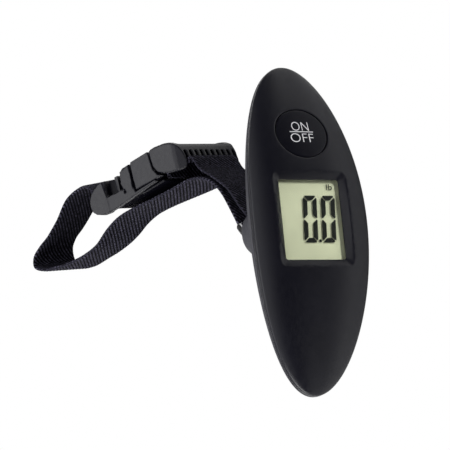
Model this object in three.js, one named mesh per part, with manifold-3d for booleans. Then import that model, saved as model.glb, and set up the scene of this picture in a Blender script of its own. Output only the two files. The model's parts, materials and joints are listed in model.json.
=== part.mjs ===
// Hand-held digital luggage scale with a webbing strap and a side-release buckle.
// Millimetres, +Z up. The scale lies on its long side as on a table, with its face turned
// towards -Y and a little upwards, and its strap stands on edge behind it.
// The origin is the bottom centre of the whole object's bounding box.
import * as THREE from 'three';
import { mergeVertices } from 'three/addons/utils/BufferGeometryUtils.js';
import Module from 'manifold-3d';

const wasm = await Module();
wasm.setup();

// ---------------------------------------------------------------- driving dimensions
// Case frame: x along the case towards the power button, y across it, z out of the face.
const HALF_LENGTH = 70;
const HALF_WIDTH = 25.2;
const ARC_DROP = 15.05; // the case is bent like a boat: its edge falls this far at the ends
const ARC_EASE = 2.04; // and eases off by this much at the very tip
const DOME = 4.6; // how far the face stands over its edge
const REAR_DEPTH = 7.5; // edge to rear face in the middle
const REAR_FALL = 7.7;
const REAR_FALL_END = 2.0;
const REAR_ROUND = 1.6;
const PART_SHARE = 0.45; // the parting line lies this far down the side wall
const WALL = 2;
const GAP = 0.3;
const CASE_ROLL = THREE.MathUtils.degToRad(75); // the case leans back 15 degrees on its side

// Display
const WINDOW = { length: 33.7, width: 26.7, z: 1.36 };
const RECESS = { length: 39, width: 31.5, z: 3.6 };
const FRAME_MARGIN = 2.2;
const LENS = { length: 35.8, width: 28.8, thick: 1.0 };
const LCD = { length: 35, width: 28, thick: 1.6 };

// Power button
const BUTTON_X = 37.2;
const BUTTON_R = 11.25;
const BUTTON_HOLE_R = 11.6;
const BUTTON_DOME = 0.42;

// Load cell and hook, in a boss on the rear
const BOSS = { halfX: 13, halfY: 21.4, bottom: -24.4, flare: 2.6 };
const CELL = { halfX: 5, halfY: 18, top: -12, bottom: -17 };
const CELL_SCREW_Y = 14.2;
const HOOK_R = 2;
const EYE_Z = -30.5;
const RING = { halfWidth: 15.1, length: 12.8, wire: 1.6, tilt: THREE.MathUtils.degToRad(42), corner: 2.6 };

// Coin cell, 20 mm by 3.2 mm
const COIN = { x: -40, r: 10, thick: 3.2 };
const DOOR = { r: 12.2, thick: 1.5 };

const CASE_SCREWS = [
  [52, 10],
  [52, -10],
  [-55, 9],
  [-55, -9],
];

// Strap and buckle, in a frame that lies level: x along the case, y away from its face.
const TABLE = -26.7; // the table's height under the middle of the case
const STRAP_WIDTH = 25;
const STRAP_THICK = 1.8;
const BUCKLE = { width: 33, start: [54.76, 78.14], end: [49.56, 148.14], lean: THREE.MathUtils.degToRad(6) };

// ---------------------------------------------------------------- helpers
const group = new THREE.Group();
const caseGroup = new THREE.Group();
caseGroup.rotation.x = CASE_ROLL;
group.add(caseGroup);

function material(color, roughness, metalness = 0) {
  return new THREE.MeshStandardMaterial({ color, roughness, metalness });
}

const LOOK = {
  shell: () => material(0x17171a, 0.42),
  rear: () => material(0x1b1b1f, 0.45),
  button: () => material(0x18181b, 0.38),
  lens: () => material(0xdfe6e0, 0.05),
  lcd: () => material(0xb9c2ae, 0.3),
  film: () => material(0xc4cbbb, 0.5),
  board: () => material(0x1f5a35, 0.5),
  part: () => material(0x0d0d0e, 0.5),
  zebra: () => material(0x3a2a3a, 0.7),
  steel: () => material(0xb8babd, 0.28, 1),
  alloy: () => material(0xa9acb0, 0.4, 1),
  gauge: () => material(0xa06a2c, 0.5),
  lead: () => material(0xb23a2c, 0.5),
  buckle: () => material(0x202024, 0.4),
  webbing: () => material(0x141418, 0.9),
};

/** Adds a named mesh to a parent. */
function add(parent, name, geometry, look, position = [0, 0, 0], rotation = [0, 0, 0]) {
  const mesh = new THREE.Mesh(geometry, look());
  mesh.name = name;
  mesh.position.set(...position);
  mesh.rotation.set(...rotation);
  parent.add(mesh);
  return mesh;
}

/** A closed geometry as a solid that can be joined and cut. */
function solid(geometry) {
  const bare = geometry.clone();
  bare.deleteAttribute('normal');
  bare.deleteAttribute('uv');
  const merged = mergeVertices(bare, 1e-4);
  return new wasm.Manifold(new wasm.Mesh({
    numProp: 3,
    vertProperties: new Float32Array(merged.attributes.position.array),
    triVerts: new Uint32Array(merged.index.array),
  }));
}

/** A solid back as a geometry. */
function geometryOf(manifold) {
  const mesh = manifold.getMesh();
  const geometry = new THREE.BufferGeometry();
  geometry.setAttribute('position', new THREE.BufferAttribute(mesh.vertProperties, 3));
  geometry.setIndex(new THREE.BufferAttribute(mesh.triVerts, 1));
  geometry.computeVertexNormals();
  return geometry;
}

/** A box from its lowest to its highest corner. */
function box(low, high) {
  const size = high.map((value, i) => value - low[i]);
  const centre = high.map((value, i) => (value + low[i]) / 2);
  return new THREE.BoxGeometry(...size).translate(...centre);
}

/** An upright cylinder between two heights. */
function drum(radius, bottom, top, x = 0, y = 0, sides = 24) {
  const geometry = new THREE.CylinderGeometry(radius, radius, top - bottom, sides);
  return geometry.rotateX(Math.PI / 2).translate(x, y, (top + bottom) / 2);
}

/** Turns a lathe profile of [radius, height] points about Z. */
function lathe(profile, sides = 32) {
  const points = profile.map(([r, z]) => new THREE.Vector2(r, z));
  return new THREE.LatheGeometry(points, sides).rotateX(Math.PI / 2);
}

/** Closed surface through rings of points. The ends are closed to their middles, or joined up. */
function loft(rings, joined = false) {
  const count = rings[0].length;
  const vertices = rings.flat();
  const index = [];
  const last = joined ? rings.length : rings.length - 1;
  for (let i = 0; i < last; i += 1) {
    const below = i * count;
    const above = ((i + 1) % rings.length) * count;
    for (let j = 0; j < count; j += 1) {
      const k = (j + 1) % count;
      index.push(below + j, below + k, above + k, below + j, above + k, above + j);
    }
  }
  if (!joined) {
    const first = rings[0];
    const final = rings[rings.length - 1];
    vertices.push(middle(first), middle(final));
    const start = (rings.length - 1) * count;
    for (let j = 0; j < count; j += 1) {
      const k = (j + 1) % count;
      index.push(vertices.length - 2, k, j);
      index.push(vertices.length - 1, start + j, start + k);
    }
  }
  const geometry = new THREE.BufferGeometry();
  geometry.setAttribute('position', new THREE.Float32BufferAttribute(vertices.flatMap((p) => p.toArray()), 3));
  geometry.setIndex(index);
  return geometry;
}

function middle(ring) {
  const sum = new THREE.Vector3();
  ring.forEach((point) => sum.add(point));
  return sum.divideScalar(ring.length);
}

// ---------------------------------------------------------------- case surfaces
function edgeHeight(x) {
  const t2 = (x / HALF_LENGTH) ** 2;
  return -ARC_DROP * t2 + ARC_EASE * t2 * t2;
}

function rearHeight(x) {
  const t2 = (x / HALF_LENGTH) ** 2;
  return -REAR_DEPTH - REAR_FALL * t2 - REAR_FALL_END * t2 * t2;
}

function partingHeight(x) {
  return edgeHeight(x) - PART_SHARE * (edgeHeight(x) - rearHeight(x));
}

function widthAt(x) {
  return HALF_WIDTH * Math.sqrt(Math.max(1 - (x / HALF_LENGTH) ** 2, 0));
}

/** Height of the face: a pillow that rolls over at its edge. */
function faceHeight(x, y) {
  const width = widthAt(x);
  const across = width > 0.01 ? Math.min(Math.abs(y) / width, 1) : 0;
  return edgeHeight(x) + DOME * (width / HALF_WIDTH) * Math.sqrt(1 - across ** 4);
}

const OUTLINE_POINTS = 44;

/** One ring of the outline, shrunk by a share, at a height given by a function. */
function outlineRing(share, height, inset = 0) {
  const ring = [];
  for (let i = 0; i < OUTLINE_POINTS; i += 1) {
    const angle = (2 * Math.PI * i) / OUTLINE_POINTS;
    const x = (HALF_LENGTH - inset) * share * Math.cos(angle);
    const y = (HALF_WIDTH - inset) * share * Math.sin(angle);
    ring.push(new THREE.Vector3(x, y, height(x, y)));
  }
  return ring;
}

const INWARD = [1, 0.6, 0.05]; // the rim's surface runs back in over these shares

function reversed(rings) {
  return rings.slice().reverse();
}

/** The solid under the face, down to a given surface at its rim. */
function underFace(drop, rim, inset) {
  const shares = [0.06, 0.3, 0.55, 0.76, 0.9, 0.97];
  const rings = shares.map((share) => outlineRing(share, (x, y) => faceHeight(x, y) - drop, inset));
  rings.push(outlineRing(1, (x) => edgeHeight(x) - drop, inset));
  INWARD.forEach((share) => rings.push(outlineRing(share, rim, inset)));
  return loft(reversed(rings));
}

/** The solid over the rear face, up to a given surface at its rim. */
function overRear(raise, rim, inset) {
  const shares = [0.06, 0.4, 0.7, 0.93];
  const rings = shares.map((share) => outlineRing(share, (x) => rearHeight(x) + raise, inset));
  rings.push(outlineRing(0.985, (x) => rearHeight(x) + raise + REAR_ROUND * 0.35, inset));
  rings.push(outlineRing(1, (x) => rearHeight(x) + raise + REAR_ROUND, inset));
  INWARD.forEach((share) => rings.push(outlineRing(share, rim, inset)));
  return loft(rings);
}

/** The boss that holds the load cell: an oval that tapers to a flat end. */
function bossSolid(inset, bottom, top) {
  const rings = [];
  const sides = 32;
  const levels = [
    [bottom, -2.2],
    [bottom + 0.9, -0.7],
    [bottom + 2.6, 0],
    [-14, 0.9],
    [-9, BOSS.flare],
    [top, BOSS.flare],
  ];
  levels.forEach(([z, grow]) => {
    const ring = [];
    for (let i = 0; i < sides; i += 1) {
      const angle = (2 * Math.PI * i) / sides;
      const reach = 1 / (Math.abs(Math.cos(angle)) ** 2.4 + Math.abs(Math.sin(angle)) ** 2.4) ** (1 / 2.4);
      const x = (BOSS.halfX + grow - inset) * reach * Math.cos(angle);
      const y = (BOSS.halfY + grow * 0.5 - inset) * reach * Math.sin(angle);
      ring.push(new THREE.Vector3(x, y, z));
    }
    rings.push(ring);
  });
  return loft(rings);
}

/** A four-sided funnel that opens upwards, for the sloping walls round the display. */
function funnel(low, high) {
  const corners = [[1, 1], [-1, 1], [-1, -1], [1, -1]];
  const ring = ({ length, width, z }) => corners.map(([i, j]) => (
    new THREE.Vector3((i * length) / 2, (j * width) / 2, z)));
  return loft([ring(low), ring(high)]);
}

const FAR = 60;
const SCREW = { headR: 2.1, head: 1.4, shankR: 0.8, length: 3.8 };

function screwSolid(headR, head, shankR, length, sides = 10) {
  return lathe([[0, 0], [headR, 0], [headR, head], [shankR, head], [shankR, head + length], [0, head + length]], sides);
}

// ---------------------------------------------------------------- front shell
const buttonHeight = faceHeight(BUTTON_X, 0);
const buttonSlope = Math.atan((faceHeight(BUTTON_X - 1, 0) - faceHeight(BUTTON_X + 1, 0)) / 2);

function frontShell() {
  const outer = solid(underFace(0, partingHeight, 0));
  let shell = outer.subtract(solid(underFace(WALL, () => -FAR, WALL)));
  const half = (size) => size / 2 + FRAME_MARGIN;
  const frame = box([-half(RECESS.length), -half(RECESS.width), -0.6],
    [half(RECESS.length), half(RECESS.width), 4]);
  shell = shell.add(outer.intersect(solid(frame)));
  const rise = RECESS.z - WINDOW.z;
  const over = 4;
  const grown = (key) => WINDOW[key] + ((RECESS[key] - WINDOW[key]) * over) / rise;
  shell = shell.subtract(solid(funnel(WINDOW,
    { length: grown('length'), width: grown('width'), z: WINDOW.z + over })));
  shell = shell.subtract(solid(box([-WINDOW.length / 2, -WINDOW.width / 2, -FAR],
    [WINDOW.length / 2, WINDOW.width / 2, WINDOW.z + 0.2])));
  const pocket = 0.4;
  shell = shell.subtract(solid(box([-LENS.length / 2 - GAP, -LENS.width / 2 - GAP, -FAR],
    [LENS.length / 2 + GAP, LENS.width / 2 + GAP, WINDOW.z - pocket])));
  const hole = drum(BUTTON_HOLE_R, -9, 8, 0, 0, 32);
  hole.rotateY(buttonSlope).translate(BUTTON_X, 0, buttonHeight);
  shell = shell.subtract(solid(hole));
  CASE_SCREWS.forEach(([x, y]) => {
    const foot = partingHeight(x) - 0.2;
    const post = outer.intersect(solid(drum(2.7, foot, 3, x, y, 14)));
    shell = shell.add(post).subtract(solid(drum(1.1, foot - 2, foot + 3.2, x, y, 10)));
  });
  return geometryOf(shell);
}
add(caseGroup, 'front_shell', frontShell(), LOOK.shell);

// ---------------------------------------------------------------- rear shell
function rearShell() {
  const rim = (x) => partingHeight(x) - GAP;
  const outer = solid(overRear(0, rim, 0));
  let shell = outer.subtract(solid(overRear(WALL, () => FAR, WALL)));
  const bossTop = -REAR_DEPTH + 0.5;
  const boss = solid(bossSolid(0, BOSS.bottom, bossTop));
  shell = shell.add(boss.subtract(solid(bossSolid(WALL, BOSS.bottom + WALL, bossTop + 4))));
  shell = shell.subtract(solid(bossSolid(WALL, BOSS.bottom + WALL, bossTop + 6)));
  [CELL_SCREW_Y, -CELL_SCREW_Y].forEach((y) => {
    shell = shell.add(solid(drum(3, BOSS.bottom + WALL - 0.5, CELL.bottom - GAP, 0, y, 20)));
    shell = shell.subtract(solid(drum(1.4, BOSS.bottom + WALL, CELL.bottom + 2, 0, y, 14)));
  });
  shell = shell.subtract(solid(drum(4, BOSS.bottom - 3, BOSS.bottom + 6)));
  CASE_SCREWS.forEach(([x, y]) => {
    const floor = rearHeight(x);
    const seat = partingHeight(x) - 0.2 - GAP;
    shell = shell.add(solid(drum(3, floor + 0.8, seat, x, y, 14)));
    shell = shell.subtract(solid(drum(SCREW.headR + GAP, floor - 4, floor + SCREW.head + 0.2, x, y, 14)));
    shell = shell.subtract(solid(drum(SCREW.shankR + GAP, floor - 4, seat + 4, x, y, 10)));
  });
  const bay = drum(DOOR.r + GAP, -6, 8, 0, 0, 32).rotateY(-bayTilt).translate(COIN.x, 0, rearHeight(COIN.x));
  return geometryOf(shell.subtract(solid(bay)));
}
const bayTilt = Math.atan((rearHeight(COIN.x + 10) - rearHeight(COIN.x - 10)) / 20);
add(caseGroup, 'rear_shell', rearShell(), LOOK.rear);

// ---------------------------------------------------------------- display and board
const lensTop = WINDOW.z - 0.4 - GAP;
const lensBottom = lensTop - LENS.thick;
add(caseGroup, 'window_lens', box([-LENS.length / 2, -LENS.width / 2, lensBottom],
  [LENS.length / 2, LENS.width / 2, lensTop]), LOOK.lens);
const lcdTop = lensBottom - GAP;
const lcdBottom = lcdTop - LCD.thick;
add(caseGroup, 'lcd_glass', box([-LCD.length / 2, -LCD.width / 2, lcdBottom],
  [LCD.length / 2, LCD.width / 2, lcdTop]), LOOK.lcd);
const filmTop = lcdBottom - GAP;
add(caseGroup, 'lcd_reflector', box([-14.6, -13.4, filmTop - 0.4], [14.6, 13.4, filmTop]), LOOK.film);
const boardTop = filmTop - 1.2;
[1, -1].forEach((side, i) => {
  add(caseGroup, `zebra_strip_${i + 1}`, box([-0.9, -12, boardTop + GAP], [0.9, 12, filmTop]),
    LOOK.zebra, [side * 16.2, 0, 0]);
});
const boardBottom = boardTop - 1;
add(caseGroup, 'main_board', box([-23, -13.5, boardBottom], [21, 13.5, boardTop]), LOOK.board);
add(caseGroup, 'chip_blob', lathe([[0, -1.1], [2.4, -0.9], [3.8, -0.3], [4, 0], [0, 0]], 20), LOOK.part,
  [-2, 0, boardBottom - GAP]);

// ---------------------------------------------------------------- power button
const buttonGroup = new THREE.Group();
buttonGroup.position.set(BUTTON_X, 0, buttonHeight);
buttonGroup.rotation.y = buttonSlope;
caseGroup.add(buttonGroup);
const capProfile = [
  [0, -3.4], [2, -3.4], [2, -1.7], [9.9, -1.7], [9.9, -4], [12.4, -4], [12.4, -3.4], [BUTTON_R, -3.4],
  [BUTTON_R, -BUTTON_DOME], [BUTTON_R - 0.3, -BUTTON_DOME + 0.2], [7, -0.12], [3.5, -0.03], [0, 0],
];
add(buttonGroup, 'button_cap', lathe(capProfile, 32), LOOK.button);
add(buttonGroup, 'switch_plunger', drum(1.5, -4.3, -3.7, 0, 0, 16), LOOK.part);
const switchBody = solid(box([-3.1, -3.1, -5.9], [3.1, 3.1, -4.5])).subtract(solid(drum(1.9, -5.2, -4, 0, 0, 16)));
add(buttonGroup, 'tact_switch', geometryOf(switchBody), LOOK.part);
add(buttonGroup, 'button_board', box([-4.3, -5, -6.8], [4.3, 5, -6.2]), LOOK.board);

function switchRibbon() {
  const shape = new THREE.Shape();
  shape.moveTo(21.4, boardBottom + 0.35);
  shape.lineTo(25.5, boardBottom + 0.2);
  shape.lineTo(30.8, -5.55);
  shape.lineTo(30.8, -5.85);
  shape.lineTo(25.3, boardBottom - 0.1);
  shape.lineTo(21.4, boardBottom + 0.05);
  const width = 5;
  const geometry = new THREE.ExtrudeGeometry(shape, { depth: width, bevelEnabled: false });
  return geometry.rotateX(Math.PI / 2).translate(0, width / 2, 0);
}
add(caseGroup, 'switch_ribbon', switchRibbon(), LOOK.film);

// ---------------------------------------------------------------- load cell and hook
function loadCell() {
  let cell = solid(box([-CELL.halfX, -CELL.halfY, CELL.bottom], [CELL.halfX, CELL.halfY, CELL.top]));
  cell = cell.subtract(solid(drum(HOOK_R + 0.5, CELL.bottom - 1, CELL.top + 1)));
  [1, -1].forEach((side) => {
    cell = cell.subtract(solid(drum(1.5, CELL.bottom - 1, CELL.top + 1, 0, side * CELL_SCREW_Y, 16)));
    const slot = new THREE.CylinderGeometry(1.6, 1.6, 2 * CELL.halfX + 2, 18).rotateZ(Math.PI / 2);
    slot.translate(0, side * 8, (CELL.top + CELL.bottom) / 2);
    cell = cell.subtract(solid(slot));
  });
  return geometryOf(cell);
}
add(caseGroup, 'load_cell', loadCell(), LOOK.alloy);
[1, -1].forEach((side, i) => {
  add(caseGroup, `strain_gauge_${i + 1}`, box([-2, -2.6, 0], [2, 2.6, 0.3]), LOOK.gauge,
    [0, side * 8, CELL.top + GAP]);
  add(caseGroup, `load_cell_screw_${i + 1}`, screwSolid(2.2, 1.4, 1.1, 7.6), LOOK.steel,
    [0, side * CELL_SCREW_Y, CELL.top + GAP + 1.4], [Math.PI, 0, 0]);
});

function cellLead() {
  const shape = new THREE.Shape();
  shape.absarc(0, 0, 0.6, 0, 2 * Math.PI);
  const path = new THREE.CatmullRomCurve3([
    new THREE.Vector3(4.2, 8, -10.9),
    new THREE.Vector3(6.6, 9.2, -10.4),
    new THREE.Vector3(8.4, 9.6, -8.6),
    new THREE.Vector3(8.6, 9.6, -6.2),
  ]);
  return new THREE.ExtrudeGeometry(shape, { steps: 8, curveSegments: 4, extrudePath: path });
}
add(caseGroup, 'load_cell_lead', cellLead(), LOOK.lead);

add(caseGroup, 'hook_bushing', lathe([
  [HOOK_R + GAP, BOSS.bottom - 0.9], [6, BOSS.bottom - 0.9], [6, BOSS.bottom - GAP], [3.7, BOSS.bottom - GAP],
  [3.7, BOSS.bottom + WALL + 0.4], [HOOK_R + GAP, BOSS.bottom + WALL + 0.4], [HOOK_R + GAP, BOSS.bottom - 0.9],
], 20), LOOK.rear);
add(caseGroup, 'thrust_washer', lathe([
  [HOOK_R + GAP, CELL.top + GAP], [4.4, CELL.top + GAP], [4.4, CELL.top + 1.1], [HOOK_R + GAP, CELL.top + 1.1],
  [HOOK_R + GAP, CELL.top + GAP],
], 24), LOOK.steel);
const nut = solid(drum(3.7, CELL.top + 1.4, CELL.top + 4.2, 0, 0, 6))
  .subtract(solid(drum(HOOK_R + GAP, CELL.top, CELL.top + 5)));
add(caseGroup, 'hook_nut', geometryOf(nut), LOOK.steel);

function swivelHook() {
  const eyeR = 4.3;
  const eyeHalf = 1.9;
  const eye = new THREE.CylinderGeometry(eyeR, eyeR, 2 * eyeHalf, 28).translate(0, 0, 0);
  eye.translate(0, 0, EYE_Z);
  const hole = new THREE.CylinderGeometry(RING.wire + 0.4, RING.wire + 0.4, 4 * eyeHalf, 24).translate(0, 0, EYE_Z);
  const stem = solid(drum(HOOK_R, EYE_Z + 3.4, CELL.top + 4.6));
  return geometryOf(solid(eye).add(stem).subtract(solid(hole)));
}
add(caseGroup, 'swivel_hook', swivelHook(), LOOK.steel);

/** The strap's ring: a wire rectangle whose near bar runs through the hook's eye. */
function strapRing() {
  const path = [];
  const centres = [
    [RING.halfWidth, 0], [RING.halfWidth, RING.length], [-RING.halfWidth, RING.length], [-RING.halfWidth, 0],
  ];
  centres.forEach(([y, d], i) => {
    const start = (i - 1) * (Math.PI / 2);
    const cy = y - Math.sign(y) * RING.corner;
    const cd = d === 0 ? RING.corner : RING.length - RING.corner;
    for (let k = 0; k <= 4; k += 1) {
      const angle = start + (k / 4) * (Math.PI / 2);
      path.push([cy + RING.corner * Math.cos(angle), cd + RING.corner * Math.sin(angle)]);
    }
  });
  const down = new THREE.Vector3(Math.sin(RING.tilt), 0, -Math.cos(RING.tilt));
  const side = new THREE.Vector3(Math.cos(RING.tilt), 0, Math.sin(RING.tilt));
  const place = ([y, d]) => new THREE.Vector3(0, y, EYE_Z).addScaledVector(down, d);
  const points = path.map(place);
  const rings = points.map((point, i) => {
    const before = points[(i + points.length - 1) % points.length];
    const after = points[(i + 1) % points.length];
    const along = after.clone().sub(before).normalize();
    const out = new THREE.Vector3().crossVectors(along, side);
    const ring = [];
    for (let k = 0; k < 14; k += 1) {
      const angle = (2 * Math.PI * k) / 14;
      ring.push(point.clone().addScaledVector(side, RING.wire * Math.cos(angle))
        .addScaledVector(out, RING.wire * Math.sin(angle)));
    }
    return ring;
  });
  return loft(rings, true);
}
add(caseGroup, 'strap_ring', strapRing(), LOOK.steel);

// ---------------------------------------------------------------- coin cell and its door
const bay = new THREE.Group();
bay.position.set(COIN.x, 0, rearHeight(COIN.x));
bay.rotation.y = -bayTilt;
caseGroup.add(bay);
const coinBottom = DOOR.thick + GAP;
const coinTop = coinBottom + COIN.thick;
add(bay, 'coin_cell', lathe([
  [0, coinBottom], [COIN.r - 0.3, coinBottom], [COIN.r, coinBottom + 0.3], [COIN.r, coinTop - 0.5],
  [COIN.r - 1, coinTop - 0.4], [COIN.r - 1.3, coinTop], [0, coinTop],
], 28), LOOK.steel);
add(bay, 'contact_negative', box([-2, -3, coinTop + GAP], [13.4, 3, coinTop + GAP + 0.3]), LOOK.steel);
add(bay, 'contact_positive', box([COIN.r + GAP, -4, coinBottom + 0.4], [COIN.r + GAP + 0.4, 4, coinTop - 0.1]),
  LOOK.steel);

function batteryDoor() {
  let door = solid(drum(DOOR.r, 0, DOOR.thick, 0, 0, 32));
  door = door.subtract(solid(box([-7, -0.9, -1], [7, 0.9, 0.7])));
  return geometryOf(door);
}
add(bay, 'battery_door', batteryDoor(), LOOK.rear);

// ---------------------------------------------------------------- case screws
CASE_SCREWS.forEach(([x, y], i) => {
  add(caseGroup, `case_screw_${i + 1}`, screwSolid(SCREW.headR, SCREW.head - GAP, SCREW.shankR, SCREW.length),
    LOOK.steel, [x, y, rearHeight(x) + 0.2]);
});

// ---------------------------------------------------------------- buckle
// Buckle frame: x along it from the strap's adjuster, y its width, z its thickness. Its upper side
// leans a little towards -X.
const [startX, startY] = BUCKLE.start;
const [endX, endY] = BUCKLE.end;
const buckleTurn = Math.atan2(endY - startY, endX - startX);
const HOUSING = { front: 21.2, back: 73, bottom: -8.3, top: 6.2 };
const HALF_BUCKLE = BUCKLE.width / 2;
const buckleHeight = HALF_BUCKLE * Math.cos(BUCKLE.lean) - (HOUSING.bottom - 0.1) * Math.sin(BUCKLE.lean);
const uprightBuckle = new THREE.Group();
uprightBuckle.position.set(startX, startY, TABLE + buckleHeight);
uprightBuckle.rotation.set(Math.PI / 2, buckleTurn, 0, 'XYZ');
group.add(uprightBuckle);
const buckleGroup = new THREE.Group();
buckleGroup.rotation.x = -BUCKLE.lean;
uprightBuckle.add(buckleGroup);

/** An outline in the buckle's plane, made as thick as given. */
function plate(points, low, high, corner = 0) {
  const shape = new THREE.Shape();
  points.forEach(([x, y], i) => (i ? shape.lineTo(x, y) : shape.moveTo(x, y)));
  const depth = high - low - 2 * corner;
  const geometry = new THREE.ExtrudeGeometry(shape, {
    depth, bevelEnabled: corner > 0, bevelThickness: corner, bevelSize: corner, bevelOffset: -corner, bevelSegments: 2,
  });
  return geometry.translate(0, 0, low + corner);
}

const SLOT_HALF = STRAP_WIDTH / 2 + 0.8;
const CAVITY = { end: 54, half: 13.5, bottom: -6.5, top: 4.4, window: 11 };
const PAD = { front: 21.7, back: 37.2, inner: 13.9, bottom: -7.3, top: 6.3 };

/** The ladder end and the tongue: two side rails joined by a toothed bar, a middle bar and a wall. */
function buckleMale() {
  const half = HALF_BUCKLE;
  const deep = 12;
  let male = solid(plate([
    [-2, -half + 4], [-1, -half + 1.2], [1.6, -half], [20.6, -half], [20.6, half], [1.6, half], [-1, half - 1.2],
    [-2, half - 4],
  ], -8.4, 6.6, 0.8));
  const holes = [
    box([-4, -SLOT_HALF, -deep], [3.2, SLOT_HALF, -3.5]),
    box([-4, -SLOT_HALF, 4.8], [3.2, SLOT_HALF, deep]),
    box([3.2, -SLOT_HALF, -deep], [9.3, SLOT_HALF, deep]),
    box([11.7, -SLOT_HALF, -deep], [18, SLOT_HALF, deep]),
    box([9, -SLOT_HALF, 1.2], [12, SLOT_HALF, deep]),
    box([9, -SLOT_HALF, -deep], [12, SLOT_HALF, -1.2]),
  ];
  holes.forEach((hole) => { male = male.subtract(solid(hole)); });
  male = male.add(solid(box([20, -3.5, -2.8], [51, 3.5, 0.8])));
  const teeth = 10;
  for (let i = 0; i < teeth; i += 1) {
    const y = (i - (teeth - 1) / 2) * 2.6;
    male = male.subtract(solid(box([-3, y - 0.5, -4], [-0.4, y + 0.5, -0.4])));
  }
  return geometryOf(male);
}
add(buckleGroup, 'buckle_male', buckleMale(), LOOK.buckle);

/** A release arm: a springy beam from its root to its catch, with the pad that is pressed. */
function releaseArm(side) {
  const beam = [
    [21.3, 8.6], [30, 9.6], [38, 10.6], [43, 9.4], [46.5, 6.8], [48, 7.8], [46.6, 11.4], [43, 13.1], [37.3, 13.1],
    [35.6, 14.6], [24, 14.6], [22.2, 11.6], [21.3, 11.4],
  ];
  const pad = [
    [PAD.front, PAD.inner], [PAD.back, PAD.inner], [PAD.back, HALF_BUCKLE], [PAD.front, HALF_BUCKLE],
  ];
  const turned = (points) => {
    const placed = points.map(([x, y]) => [x, y * side]);
    return side > 0 ? placed : placed.reverse();
  };
  const arm = solid(plate(turned(beam), CAVITY.bottom + 0.4, CAVITY.top - 0.4, 0.5));
  return geometryOf(arm.add(solid(plate(turned(pad), PAD.bottom, PAD.top, 0.6))));
}
add(buckleGroup, 'release_arm_upper', releaseArm(1), LOOK.buckle);
add(buckleGroup, 'release_arm_lower', releaseArm(-1), LOOK.buckle);

/** The housing: a flat shell with a side window for each pad and a bar for the webbing. */
function buckleFemale() {
  const half = HALF_BUCKLE;
  const deep = 12;
  let female = solid(plate([
    [HOUSING.front, -half + 0.6], [46, -half + 0.4], [54, -half + 1.8], [62, -half], [68, -half + 0.8], [72, -half + 3],
    [HOUSING.back, -half + 6], [HOUSING.back, half - 6], [72, half - 3], [68, half - 0.8], [62, half],
    [54, half - 1.8], [46, half - 0.4], [HOUSING.front, half - 0.6],
  ], HOUSING.bottom, HOUSING.top, 1.4));
  const holes = [
    box([HOUSING.front - 2, -CAVITY.half, CAVITY.bottom], [CAVITY.end, CAVITY.half, CAVITY.top]),
    box([HOUSING.front - 2, CAVITY.window, -deep], [PAD.back + 0.9, half + 2, deep]),
    box([HOUSING.front - 2, -half - 2, -deep], [PAD.back + 0.9, -CAVITY.window, deep]),
    box([56.4, -SLOT_HALF, -deep], [63.4, SLOT_HALF, deep]),
    box([62, -SLOT_HALF, 1.6], [HOUSING.back + 2, SLOT_HALF, deep]),
    box([62, -SLOT_HALF, -deep], [HOUSING.back + 2, SLOT_HALF, -1.6]),
    box([70, -SLOT_HALF, -2], [HOUSING.back + 2, SLOT_HALF, 2]),
  ];
  holes.forEach((hole) => { female = female.subtract(solid(hole)); });
  return geometryOf(female);
}
add(buckleGroup, 'buckle_female', buckleFemale(), LOOK.buckle);

// ---------------------------------------------------------------- webbing
// Each point of the strap's route: x, y, height of its middle over the table, and how far its
// upper edge leans from its lower one in x and y. It starts round the female half's bar, runs
// through the loop and the ring, and ends in the male half's adjuster.
const along = new THREE.Vector2(endX - startX, endY - startY).normalize();
const across = new THREE.Vector2(along.y, -along.x);

function inBuckle(distance, offset) {
  const level = offset * Math.cos(BUCKLE.lean);
  const lean = -STRAP_WIDTH * Math.sin(BUCKLE.lean);
  return [
    startX + along.x * distance + across.x * level,
    startY + along.y * distance + across.y * level,
    buckleHeight + offset * Math.sin(BUCKLE.lean),
    across.x * lean, across.y * lean,
  ];
}

const ringEnd = new THREE.Vector3(Math.sin(RING.tilt) * RING.length, 0, EYE_Z - Math.cos(RING.tilt) * RING.length);
ringEnd.applyAxisAngle(new THREE.Vector3(1, 0, 0), CASE_ROLL);
const ringLean = STRAP_WIDTH * Math.cos(CASE_ROLL);

/** A point round the ring's outer bar, at an angle from +x towards +y. */
function roundRing(angle, radius) {
  const turn = THREE.MathUtils.degToRad(angle);
  return [
    ringEnd.x + radius * Math.cos(turn),
    ringEnd.y + radius * Math.sin(turn),
    ringEnd.z - TABLE, 0, ringLean,
  ];
}

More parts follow.
